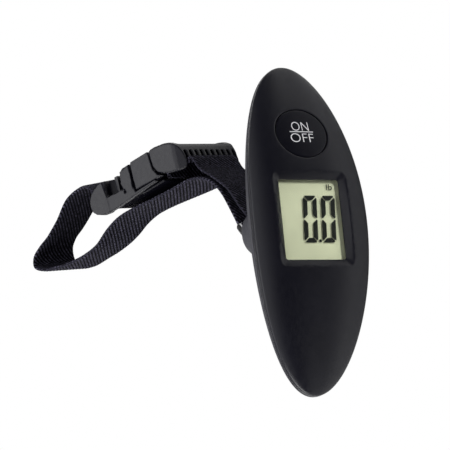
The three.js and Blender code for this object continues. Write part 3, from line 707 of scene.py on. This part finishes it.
# ---- rear shell
BAY_X = -40
BAY_R = 12.5
SCREWS = ((52, 10), (52, -10), (-55, 9), (-55, -9))
SCREW_SEAT_R = 2.4
SCREW_HOLE_R = 1.1
SCREW_SEAT_DEPTH = 1.7
REAR_WALL = 2
BOSS_HALF = (13, 21.4)
BOSS_POWER = 2.4  # between an ellipse, 2, and a rectangle
BOSS_FOOT = 3.2
BOSS_END = -24.4
BOSS_FLOOR = -22.4
HOOK_HOLE_R = 4


def boss_half(grow):
    return BOSS_HALF[0] + grow, BOSS_HALF[1] + grow * 0.5


def boss_outline(grow, count=128):
    half_x, half_y = boss_half(grow)
    points = []
    for i in range(count):
        angle = 2 * math.pi * i / count
        c, s = math.cos(angle), math.sin(angle)
        reach = (abs(c) ** BOSS_POWER + abs(s) ** BOSS_POWER) ** (-1 / BOSS_POWER)
        points.append((half_x * reach * c, half_y * reach * s))
    return points


def outside_boss(x, y, grow):
    """About how far a point lies outside the boss's outline."""
    a, b = boss_half(grow)
    value = ((abs(x) / a) ** BOSS_POWER + (abs(y) / b) ** BOSS_POWER) ** (1 / BOSS_POWER)
    return (value - 1) * min(a, b)


def clear_of_openings(x, y, boss_grow, bore):
    """The smallest distance to the boss, the battery bay and the screws' bores."""
    distances = [outside_boss(x, y, boss_grow), math.hypot(x - BAY_X, y) - BAY_R]
    distances += [math.hypot(x - sx, y - sy) - bore for sx, sy in SCREWS]
    return min(distances)


def rear_inside(x, y):
    return min(inset_share(x, y, REAR_INSET), clear_of_openings(x, y, BOSS_FOOT, SCREW_SEAT_R))


def rear_inner(x, y):
    return min(inset_share(x, y, WALL), clear_of_openings(x, y, 0, SCREW_HOLE_R))


def boss_walls():
    """Rings from the rear's back down the boss, in through the hook's hole and up the inside."""
    rows = [[(x, y, rear_height(x) - drop) for x, y in boss_outline(grow)]
            for grow, drop in ((2.7, 0.16), (2.35, 0.5), (2.15, 1.1))]
    outer = ((1.9, -10.4), (1.3, -12.6), (0.8, -15), (0.35, -18.5), (0, -21.8), (-0.35, -23.1),
             (-1.1, -24.0), (-2.2, BOSS_END), (-5.5, BOSS_END))
    inner = ((-3, BOSS_FLOOR), (-2.2, -21.5), (-0.5, -12))
    rows += [[(x, y, z) for x, y in boss_outline(grow)] for grow, z in outer]
    rows += [[(x, y, z) for x, y in circle(HOOK_HOLE_R, 128)] for z in (BOSS_END, BOSS_FLOOR)]
    rows += [[(x, y, z) for x, y in boss_outline(grow)] for grow, z in inner]
    return rows


def rear_shell():
    shape = Shape()
    bay = circle(BAY_R, 96, BAY_X)
    bores = [circle(SCREW_SEAT_R, 28, x, y) for x, y in SCREWS]
    guides = [place for grow in (0.8, 1.7) for place in boss_outline(BOSS_FOOT + grow)]
    holes = [boss_outline(BOSS_FOOT), bay, *bores]
    loops = surface(shape, flat_rim(REAR_INSET), holes, rear_inside, over_rear(0), 2.2, guides)

    side = shape.rings([
        rim(1.1, over_rear(0.08)), rim(0.6, over_rear(0.35)), rim(0.25, over_rear(0.75)),
        rim(0.06, over_rear(1.2)), rim(0, over_rear(1.7)), rim(0, over_joint(-0.35)),
        rim(0.06, over_joint(-0.2)), rim(0.2, over_joint(-JOINT_GAP)), rim(1.05, over_joint(-JOINT_GAP)),
        rim(1.05, over_joint(0.6)), rim(WALL, over_joint(0.6)),
    ], loops[0])
    boss = shape.rings(boss_walls(), loops[1])
    seats = []
    for (x, y), loop in zip(SCREWS, loops[3:]):
        seats.append(shape.rings([
            [(px, py, rear_height(px) + SCREW_SEAT_DEPTH) for px, py in circle(radius, 28, x, y)]
            for radius in (SCREW_SEAT_R, SCREW_HOLE_R)
        ], loop))

    inner_bores = [circle(SCREW_HOLE_R, 28, x, y) for x, y in SCREWS]
    inner_holes = [boss_outline(0), bay, *inner_bores]
    inner_loops = surface(shape, flat_rim(WALL), inner_holes, rear_inner, over_rear(REAR_WALL), 3.4)
    for outer, inner in zip((side, boss, loops[2], *seats), inner_loops):
        shape.bridge(outer, inner)
    return shape.mesh("rear_shell", CASE, 35)


piece("rear_shell_moulding", rear_shell(), "case", "case_rear", ["rear_shell"])


# ---- button
PRINT_DEPTH = 0.03  # how far the print stands over and reaches under the surface


def dome(radius):
    """Height of the button's top over its rim plane."""
    return 0.1 - 0.42 * (radius / BUTTON_R) ** 2


def button_cap():
    shape = Shape()
    profile = [(r, dome(r)) for r in (1.5, 3, 4.5, 6, 7.5, 9, 10.2, 10.8)]
    profile += [(11.05, dome(11.05) - 0.04), (11.19, dome(11.2) - 0.14), (BUTTON_R, dome(BUTTON_R) - 0.32),
                (BUTTON_R, -3.4), (12.4, -3.4), (12.4, -4), (9.9, -4), (9.9, -1.6), (1.5, -1.6)]
    rows = [[(x, y, z) for x, y in circle(radius)] for radius, z in profile]
    last = shape.rings(rows)
    shape.cap(list(range(len(rows[0]))))
    shape.cap(last)
    return shape.mesh("power_button_cap", BUTTON_FRAME, 32)


piece("power_button_cap", button_cap(), "power_button", "button", ["button_cap"])


def lettering(name, text, centre, size, lift, thick, matrix, weight):
    """Text laid on a surface, reading along -y with its top towards +x, as wide and high as given."""
    curve = bpy.data.curves.new(name, "FONT")
    curve.body = text
    curve.resolution_u = 6
    curve.offset = weight
    mesh = applied(linked(name, curve))
    xs = [v.co.x for v in mesh.vertices]
    ys = [v.co.y for v in mesh.vertices]
    scale_x = size[0] / (max(xs) - min(xs))
    scale_y = size[1] / (max(ys) - min(ys))
    middle_x, middle_y = (max(xs) + min(xs)) / 2, (max(ys) + min(ys)) / 2
    solid = bmesh.new()
    solid.from_mesh(mesh)
    bmesh.ops.remove_doubles(solid, verts=solid.verts, dist=1e-5)
    raised = bmesh.ops.extrude_face_region(solid, geom=list(solid.faces), use_keep_orig=True)
    top = {v for v in raised["geom"] if isinstance(v, bmesh.types.BMVert)}
    for vertex in solid.verts:
        x = centre[0] + (vertex.co.y - middle_y) * scale_y
        y = centre[1] - (vertex.co.x - middle_x) * scale_x
        z = lift(x, y) + (thick if vertex in top else 0)
        vertex.co = matrix @ Vector((x, y, z))
    bmesh.ops.recalc_face_normals(solid, faces=solid.faces)
    solid.to_mesh(mesh)
    solid.free()
    mesh.set_sharp_from_angle(angle=math.radians(30))
    return mesh


def on_button(x, y):
    return dome(math.hypot(x, y)) - PRINT_DEPTH


for word, place, size in (("ON", 3.15, (7.5, 4.2)), ("OFF", -2.35, (10.2, 4.1))):
    label = "print_" + word.lower()
    print_mesh = lettering(label, word, (place, 0.2), size, on_button, 2 * PRINT_DEPTH, BUTTON_FRAME, -0.016)
    piece(label, print_mesh, "power_button", "button", material="white_print")


LINE_X = (0.35, 0.72)
LINE_HALF = 5.2


def printed_line():
    """The line between the two words, which follows the button's dome."""
    shape = Shape()
    rows = []
    low, high = LINE_X
    for i in range(13):
        y = LINE_HALF * (2 * i / 12 - 1)
        z = dome(abs(y))
        rows.append([(low, y, z - PRINT_DEPTH), (high, y, z - PRINT_DEPTH),
                     (high, y, z + PRINT_DEPTH), (low, y, z + PRINT_DEPTH)])
    shape.closed(rows)
    return shape.mesh("print_line", BUTTON_FRAME, 30)


piece("print_line", printed_line(), "power_button", "button", material="white_print")

# ---- display
GLASS_TOP = -0.64
SEGMENT_Z = -1.05
SEGMENT_THICK = 0.06
FILM_TOP = -1.95
SLANT = 0.065  # the digits lean like italics


def display_pane(name, size, bottom, top, edge):
    """A flat rounded pane with a small chamfer."""
    small = (size[0] - 2 * edge, size[1] - 2 * edge, size[2])
    rows = [[(x, y, z) for x, y in rounded_rectangle(*outline)] for outline, z in (
        (small, bottom), (size, bottom + edge), (size, top - edge), (small, top))]
    shape = Shape()
    shape.closed(rows)
    return shape.mesh(name, CASE, 20)


def digit(shape, cx, cy, wide=6.1, tall=19.7, stroke=1.9, gap=0.28):
    """A seven-segment nought: two mitred ends, and on each side two bars that meet in the middle."""
    def bar(outline):
        leaning = [(cx + x, cy + y - SLANT * x) for x, y in outline]
        shape.prism(leaning, SEGMENT_Z, SEGMENT_Z + SEGMENT_THICK)

    half_x, half_y = tall / 2, wide / 2
    inner_x, inner_y = half_x - stroke, half_y - stroke
    tip = 0.55 * stroke
    for end in (1, -1):
        half_end = [
            (half_x, half_y - 0.5 - gap), (half_x - 0.5, half_y - 0.35 - gap), (inner_x, inner_y - gap * 0.6)]
        bar([(end * x, y) for x, y in half_end] + [(end * x, -y) for x, y in reversed(half_end)])
        for side in (1, -1):
            upright = [
                (half_x - 0.9 - gap, half_y), (gap + 0.25, half_y), (gap, half_y - 0.45),
                (gap + tip * 1.5, inner_y), (inner_x - gap * 1.4, inner_y),
                (half_x - 0.6 - gap * 1.2, half_y - 0.45)]
            bar([(end * x, side * y) for x, y in upright])


def on_display(x, y):
    return SEGMENT_Z


CELL = (35.4, 28.4, 0.8)
FILM = (36.3, 29.3, 0.9)
DIGIT_X = 0.85
DIGIT_YS = (-0.3, -8.4)
POINT = (-8.3, -3.75)
POINT_R = 0.6
piece("lcd_cell_glass", display_pane("lcd_cell_glass", CELL, FILM_TOP + 0.1, GLASS_TOP, 0.12),
      "case", "lcd", ["lcd_glass"])
piece("lcd_backing_film", display_pane("lcd_backing_film", FILM, FILM_TOP - 0.2, FILM_TOP, 0.05),
      "case", "reflector_film", ["lcd_reflector"])
digits = Shape()
for digit_y in DIGIT_YS:
    digit(digits, DIGIT_X, digit_y)
digits.prism(circle(POINT_R, 20, *POINT), SEGMENT_Z, SEGMENT_Z + SEGMENT_THICK)
piece("lcd_digits", digits.mesh("lcd_digits", CASE), "case", "lcd", material="lcd_ink")
unit_mesh = lettering("lcd_unit", "lb", (14.4, -10.05), (2.5, 2.6), on_display, SEGMENT_THICK, CASE, -0.004)
piece("lcd_unit", unit_mesh, "case", "lcd", material="lcd_ink")

# ---- hook and ring
EYE_Z = -30.5
RING_TILT = math.radians(42)
RING_HALF = 15.1
RING_LENGTH = 12.8
RING_WIRE = 1.6
RING_CORNER = 2.6


def wire_ring():
    """A rectangular ring with round corners, hanging from the hook's eye at a tilt."""
    path = []
    for k, (sign, far) in enumerate(((1, False), (1, True), (-1, True), (-1, False))):
        y = sign * (RING_HALF - RING_CORNER)
        drop = RING_LENGTH - RING_CORNER if far else RING_CORNER
        for i in range(11):
            angle = (k - 1 + i / 10) * math.pi / 2
            path.append((y + RING_CORNER * math.cos(angle), drop + RING_CORNER * math.sin(angle)))
    down = Vector((math.sin(RING_TILT), 0, -math.cos(RING_TILT)))
    side = Vector((math.cos(RING_TILT), 0, math.sin(RING_TILT)))
    places = [Vector((0, y, EYE_Z)) + down * drop for y, drop in path]
    rows = []
    for i, place in enumerate(places):
        ahead = (places[(i + 1) % len(places)] - places[i - 1]).normalized()
        out = ahead.cross(side)
        rows.append([place + side * u + out * v for u, v in circle(RING_WIRE, 24)])
    shape = Shape()
    last = shape.rings(rows)
    shape.bridge(last, list(range(len(rows[0]))))
    return shape.mesh("strap_ring_wire", CASE, 60)


piece("strap_ring_wire", wire_ring(), "ring", "plated_steel", ["strap_ring"])

# ---- buckle
# Side outlines are (along, out of the face), plans are (along, across). Both stop at the middle.
CHEEK = 13.3
ARM_GAP = 0.1
MALE_SIDE = [
    (20.9, 5.9), (19.6, 6.2), (16.1, 6.2), (9, 5.3), (5.1, 4.2), (2.6, 2.7), (1.0, 0.9), (-0.1, -1.4),
    (-0.8, -3.8), (-1.4, -6.6), (-1.2, -8.4), (-0.2, -9.3), (2.4, -9.5), (9.1, -8.5), (13.9, -7.1),
    (17.8, -5.3), (20.2, -2.1), (20.9, 2.4)]
FRONT_BAR = [(3.4, 2.9), (2.4, 2.6), (1.0, 0.9), (-0.1, -1.4), (-0.8, -3.8), (-0.9, -4.7), (3.4, -4.7)]
ROUNDED_CHEEK = [(-3, 12.3), (-0.2, 14.4), (2.2, 15.9), (5.2, 16.7), (5.2, 19), (-3, 19)]
ROUNDED_CORNER = [(-3, -19), (3, -19), (3, -16.7), (0.5, -16), (-3, -15.4)]
NOTCHES = 10
NOTCH_PITCH = 3.0
FIRST_NOTCH = 12.5
NOTCH_HALF = 0.7
PAD_SIDE = [
    (22.2, 6.1), (36.4, 6.3), (36.7, 3), (36.6, -1.7), (36.2, -7.0), (15.6, -7.5), (18.5, -6.0),
    (21.1, -2.5), (21.8, 2.3)]
ARM_BEAM = [
    (21.3, 8.6), (30, 9.6), (38, 10.6), (43, 9.4), (46.5, 6.8), (48, 7.8), (46.6, 11.4), (43, 13.1),
    (37.3, 13.1), (35.6, 14.6), (24, 14.6), (22.2, 11.6), (21.3, 11.4)]
BLOCK_SIDE = [
    (38.5, 5.4), (45.6, 4.9), (46.3, 2), (46.5, -1.3), (45.4, -3.6), (43.6, -5.2), (38.6, -5.8), (38.3, -1)]
END_SIDE = [
    (61.6, 5.8), (64.5, 5.3), (68.2, 4.3), (71.2, 2.7), (73.0, 0.4), (73.6, -2.7), (72.6, -5.6),
    (70.2, -7.6), (65.5, -9.3), (60.2, -9.9), (59.2, -9.8), (59.8, -2.0)]
LIP_SIDE = [
    (38.0, -5.4), (44.2, -4.8), (47.4, -3.0), (50.5, -3.0), (60, -2.4), (60.4, -9.9), (53.3, -9.7),
    (46.5, -9.4), (21.2, -8.4), (21.2, -7.4), (37.6, -7.6)]
FRONT_PLATE = [(21.4, 10.9), (38.2, 10.9), (38.4, 15.9), (44.6, 16.0), (45.2, 14.0), (46.8, 11.4), (49, 9.8),
               (58, 9.8)]
BACK_PLATE = [(21.4, 10.9), (38.2, 10.9), (38.4, 15.9), (60, 15.9)]
SCOOP_WALL = [
    (39, 12.6), (39, 14.6), (44.8, 14.6), (46.5, 12.0), (49, 9.9), (58, 9.9), (60.2, 12.5), (60.2, 15.4),
    (63, 15.4), (63, 12.0), (57, 8.2), (48, 8.2), (44, 12.6)]
STRAP_BAR = [
    (63.6, -1.0), (65, -1.7), (68.6, -1.7), (70, -0.8), (70, 0.9), (68.6, 1.7), (65, 1.7), (63.6, 1.0)]


def on_sides(shape, outline, inner, outer, sides=(1, -1)):
    """A side outline between two distances from the middle."""
    for side in sides:
        shape.side_prism(outline, *sorted((side * inner, side * outer)))


def both_halves(plan):
    return plan + [(x, -y) for x, y in reversed(plan)]


def buckle_male():
    body, cuts = Shape(), Shape()
    on_sides(body, MALE_SIDE, CHEEK, BUCKLE_HALF)
    body.side_prism(FRONT_BAR, -14, 14)
    body.box((9.3, -14, -1.2), (11.7, 14, 1.2))
    body.box((18, -14, -2.2), (20.7, 14, 5.6))
    body.box((20, -3.5, -2.8), (51, 3.5, 0.8))
    cuts.prism(ROUNDED_CHEEK, -12, 9)
    cuts.prism(ROUNDED_CORNER, -12, 9)
    for i in range(NOTCHES):
        y = FIRST_NOTCH - NOTCH_PITCH * i
        cuts.box((-1.7, y - NOTCH_HALF, -8), (1.7, y + NOTCH_HALF, -1.1))
    return moulded("buckle_ladder_end", body, cuts, 0.36)


def release_arm(name, side):
    body = Shape()
    body.prism([(x, y * side) for x, y in ARM_BEAM], -6.1, 4.0)
    on_sides(body, PAD_SIDE, 13.9, BUCKLE_HALF - ARM_GAP, [side])
    return moulded(name, body, None, 0.38, smooth=8)


def buckle_female():
    body, cuts = Shape(), Shape()
    body.prism(both_halves(FRONT_PLATE), 4.4, 6.1)
    body.prism(both_halves(BACK_PLATE), -8.3, -6.9)
    on_sides(body, BLOCK_SIDE, CHEEK, BUCKLE_HALF - ARM_GAP)
    on_sides(body, END_SIDE, CHEEK, BUCKLE_HALF - ARM_GAP)
    on_sides(body, LIP_SIDE, CHEEK + 0.6, BUCKLE_HALF - 0.4)
    for side in (1, -1):
        body.prism([(x, side * y) for x, y in SCOOP_WALL], -8.0, 5.8)
        low, high = sorted((side * 14.6, side * 18))
        cuts.box((44.2, low, -5.6), (46.0, high, -3.8))
    body.box((54, -12, -8.2), (56.4, 12, 6.0))
    body.side_prism(STRAP_BAR, -14, 14)
    return moulded("buckle_housing", body, cuts, 0.4)


piece("buckle_ladder_end", buckle_male(), "strap", "buckle_plastic", ["buckle_male"])
for label, side in (("upper", 1), ("lower", -1)):
    piece("buckle_arm_" + label, release_arm("buckle_arm_" + label, side), label + "_arm", "buckle_plastic",
          ["release_arm_" + label])
piece("buckle_housing", buckle_female(), "strap", "buckle_plastic", ["buckle_female"])

# ---- webbing
def in_buckle(distance, offset):
    """A place on the strap's route inside the buckle: x, y and height, and how far its top edge leans."""
    place = BUCKLE_START + ALONG * distance + ACROSS * (offset * math.cos(BUCKLE_LEAN))
    lean = ACROSS * (-STRAP_WIDTH * math.sin(BUCKLE_LEAN))
    return (place.x, place.y, BUCKLE_HEIGHT + offset * math.sin(BUCKLE_LEAN), lean.x, lean.y)


CASE_TURN = Matrix.Rotation(CASE_ROLL, 3, "X")
RING_BAR = CASE_TURN @ Vector((
    math.sin(RING_TILT) * RING_LENGTH, 0, EYE_Z - math.cos(RING_TILT) * RING_LENGTH))
CASE_LIFT = 26.7  # the case's origin over the table
RING_WRAP = 3.3


def round_ring(degrees):
    """A place on the route round the ring's outer bar."""
    turn = math.radians(degrees)
    return (RING_BAR.x + RING_WRAP * math.cos(turn), RING_BAR.y + RING_WRAP * math.sin(turn),
            RING_BAR.z + CASE_LIFT, 0, STRAP_WIDTH * math.cos(CASE_ROLL))


ROUTE = [
    in_buckle(61.2, -3.1), in_buckle(65.5, -3.4), in_buckle(71.4, -2.2), in_buckle(72.6, 0.6),
    (51, 154.6, 15.6, -2.4, 0), (58, 160.5, 13.8, -4, 0), (63, 168, 12.9, -6, -1), (64, 177, 12.6, -7, -1),
    (61.5, 187, 12.65, -7, -2), (54.5, 197, 12.65, -8, -3), (48.5, 207, 12.65, -8, -3),
    (45, 215, 12.65, -8, -2), (41, 219.5, 12.65, -7, -1), (35.5, 219, 12.65, -5, 0), (31, 211, 12.65, -3, 0),
    (29.5, 200, 12.65, -3, 0), (29.5, 188, 12.65, -5, 0), (30.5, 174, 12.65, -6, 0),
    (33, 162, 12.65, -6.5, 0), (37.5, 152, 12.65, -5.5, 0), (40.2, 142, 12.65, -4.6, 0),
    (41, 130, 12.65, -4, 0), (41, 115, 12.65, -3.6, 0), (41, 102, 12.65, -3, 0), (41.2, 92, 12.7, -2.4, 0),
    (41, 83, 12.9, -1.6, 0), (39.2, 74.6, 13.3, -1, 0), (35.8, 66.8, 13.8, -0.7, 0.8),
    (31.4, 60.4, 14.4, -0.4, 1.8), (25.6, 54.8, 15, 0, 3), (14.4, 46.2, 16.2, 0, 5.5),
    round_ring(124), round_ring(190), round_ring(220), round_ring(250), round_ring(305),
    (18.5, 42.6, 16.2, 0, 5.5), (27.2, 50.4, 15.6, 0, 3), (35, 59.8, 15.8, -0.5, 1.5),
    (42.4, 69.6, 16.6, -1.6, 0), in_buckle(-2.5, -5.6), in_buckle(3, -5.3), in_buckle(6.1, -1.6),
    in_buckle(8.6, 2.9), in_buckle(12.2, 2.9), in_buckle(14.6, -0.4), in_buckle(15.8, -5),
    in_buckle(16, -8.6),
]


def between(first, second, start, end, t):
    return first * ((end - t) / (end - start)) + second * ((t - start) / (end - start))


def catmull_rom(before, start, end, after, share):
    """A point of the centripetal curve between start and end."""
    points = [before, start, end, after]
    knots = [0.0]
    for a, b in zip(points, points[1:]):
        knots.append(knots[-1] + max((b - a).length ** 0.5, 1e-4))
    t = knots[1] + (knots[2] - knots[1]) * share
    near = [between(points[i], points[i + 1], knots[i], knots[i + 1], t) for i in range(3)]
    wide = [between(near[i], near[i + 1], knots[i], knots[i + 2], t) for i in range(2)]
    return between(*wide, knots[1], knots[2], t)


def strap_centre(per_span=14):
    """The route's middle line and the direction of its upper edge, close together."""
    places = [Vector(row[:3]) for row in ROUTE]
    leans = [Vector((row[3], row[4], 0)) for row in ROUTE]
    places = [places[0] * 2 - places[1]] + places + [places[-1] * 2 - places[-2]]
    line = []
    for i in range(len(ROUTE) - 1):
        for k in range(per_span + (1 if i == len(ROUTE) - 2 else 0)):
            share = k / per_span
            lean = leans[i].lerp(leans[i + 1], share)
            rise = math.sqrt(STRAP_WIDTH ** 2 - lean.length_squared)
            upright = Vector((lean.x, lean.y, rise)) / STRAP_WIDTH
            line.append((catmull_rom(*places[i:i + 4], share), upright))
    return line


def evened(line, step):
    """The same line with points a fixed step apart, and each point's length along it."""
    lengths = [0.0]
    for (a, _), (b, _) in zip(line, line[1:]):
        lengths.append(lengths[-1] + (b - a).length)
    count = int(lengths[-1] / step)
    result = []
    j = 0
    for i in range(count + 1):
        s = lengths[-1] * i / count
        while j < len(line) - 2 and lengths[j + 1] < s:
            j += 1
        share = (s - lengths[j]) / max(lengths[j + 1] - lengths[j], 1e-9)
        (place, upright), (next_place, next_upright) = line[j:j + 2]
        result.append((place.lerp(next_place, share), upright.lerp(next_upright, share).normalized(), s))
    return result


STRAP_STEP = 0.55
STRAP_COLUMNS = 48
SELVEDGE = 0.35
RIB_HEIGHT = 0.13
SCALLOP = 0.17


def webbing():
    """The strap: both faces ribbed on a slant, thinner at the edges, which are lightly scalloped."""
    line = evened(strap_centre(), STRAP_STEP)
    half = STRAP_WIDTH / 2
    face_half = half - SELVEDGE
    section = [(side, side * face_half * (1 - 2 * k / STRAP_COLUMNS))
               for side in (1, -1) for k in range(STRAP_COLUMNS + 1)]
    shape = Shape()
    rows = []
    marks = []
    for i, (centre, upright, s) in enumerate(line):
        ahead = line[min(i + 1, len(line) - 1)][0] - line[max(i - 1, 0)][0]
        out = ahead.cross(upright).normalized()
        row = []
        for index, (side, u) in enumerate(section):
            rib = math.sin(2 * math.pi * (s / RIB_LENGTH - side * u / RIB_WIDTH))
            full = min(1.0, (face_half - abs(u)) / 0.8)
            thick = STRAP_THICK / 2 - 0.17 + RIB_HEIGHT * rib * full - 0.22 * (1 - full) ** 2
            scallop = math.copysign(SCALLOP * math.sin(2 * math.pi * s / RIB_LENGTH) * (1 - full), u)
            row.append(centre + out * (side * thick) + upright * (u + scallop))
            marks.append((s, -side * u))
            if (index + 1) % (STRAP_COLUMNS + 1) == 0:
                row.append(centre + upright * (math.copysign(half - 0.02, u) + scallop))
                marks.append((s, u))
        rows.append(row)
    shape.closed(rows)
    mesh = shape.mesh("webbing_loop", ROUTE_FRAME, 75)
    layer = mesh.uv_layers.new(name="yarn")
    for loop in mesh.loops:
        layer.data[loop.index].uv = marks[loop.vertex_index]
    return mesh


piece("webbing_loop", webbing(), "strap", "webbing", ["webbing_strap"])

# ---- CAD pieces kept
SLOT_OF = {entry["node"]: entry["material_slot"] for entry in frame["record"]["subparts"]}
SHARP = {"window_lens"}
KEPT = {name: node for name, node in frame["nodes"].items() if name not in REPLACED}
for name, node in KEPT.items():
    for holder in node.material_slots:
        holder.material = MATERIALS[SLOT_OF[name]]
    if name not in SHARP:
        rounding = node.modifiers.new("rounding", "BEVEL")
        rounding.width = 0.00015
        rounding.segments = 2
        rounding.limit_method = "ANGLE"
        rounding.angle_limit = math.radians(40)

# ---- floor and light
WHITE = 1.0
WORLD_LOW = 0.05
WORLD_HIGH = 1.0
FADE_START = -0.145
FADE_END = -0.22
FLOOR_HALF = 3


def floor_material():
    """Seen directly it is plain white; what it gives back to the object is dimmer, and fades in front."""
    graph = material_graph("floor")
    forward = graph.node("ShaderNodeSeparateXYZ", {"Vector": graph.coordinates}).outputs["Y"]
    near = graph.spread(forward, 0.05, 1.0, FADE_END, FADE_START)
    grain = graph.spread(graph.noise(6, 2), 0.49, 0.53)
    value = graph.math("MULTIPLY", near, grain)
    tone = graph.node("ShaderNodeCombineXYZ", {"X": value, "Y": value, "Z": value}).outputs[0]
    matte = graph.node("ShaderNodeBsdfDiffuse", {"Color": tone}).outputs["BSDF"]
    return graph.finish(graph.white_to_camera(matte, "ShaderNodeEmission"))


floor_mesh = bpy.data.meshes.new("floor")
corners = [(x * FLOOR_HALF, y * FLOOR_HALF, 0) for x, y in ((-1, -1), (1, -1), (1, 1), (-1, 1))]
floor_mesh.from_pydata(corners, [], [(0, 1, 2, 3)])
floor_mesh.materials.append(floor_material())
floor = linked("floor", floor_mesh)
floor.location.z = -0.0002


def soft_light(name, place, target, size, power, mirrored=True):
    """An area light that faces the target, and may be kept out of reflections."""
    data = bpy.data.lights.new(name, "AREA")
    data.shape = "RECTANGLE"
    data.size, data.size_y = size
    data.energy = power
    made = linked(name, data)
    made.location = place
    made.visible_glossy = mirrored
    made.rotation_euler = (Vector(target) - Vector(place)).to_track_quat("-Z", "Y").to_euler()


MIDDLE = (0.01, -0.05, 0.03)
soft_light("front", (0.14, -0.86, 0.09), (0, -0.11, 0.03), (0.22, 0.14), 3.8, False)
soft_light("overhead", (-0.20, 0.15, 0.90), MIDDLE, (0.9, 0.9), 12, False)
soft_light("back", (-0.10, 0.70, 0.80), MIDDLE, (1.2, 0.9), 3.9)
soft_light("left", (-0.80, 0.05, 0.30), MIDDLE, (0.5, 0.5), 4)


def studio_world():
    """Soft light that is dim near the horizon and bright overhead, behind a plain white view."""
    graph = Graph(bpy.data.worlds.new("studio"), "Generated")
    upward = graph.node("ShaderNodeSeparateXYZ", {"Vector": graph.coordinates}).outputs["Z"]
    strength = graph.spread(upward, WORLD_LOW, WORLD_HIGH, 0.3, 0.95, interpolation_type="SMOOTHSTEP")
    glow = graph.node("ShaderNodeBackground", {"Strength": strength}).outputs["Background"]
    return graph.finish(graph.white_to_camera(glow, "ShaderNodeBackground"), "ShaderNodeOutputWorld")


bpy.context.scene.world = studio_world()
bpy.context.scene.view_settings.view_transform = "Standard"
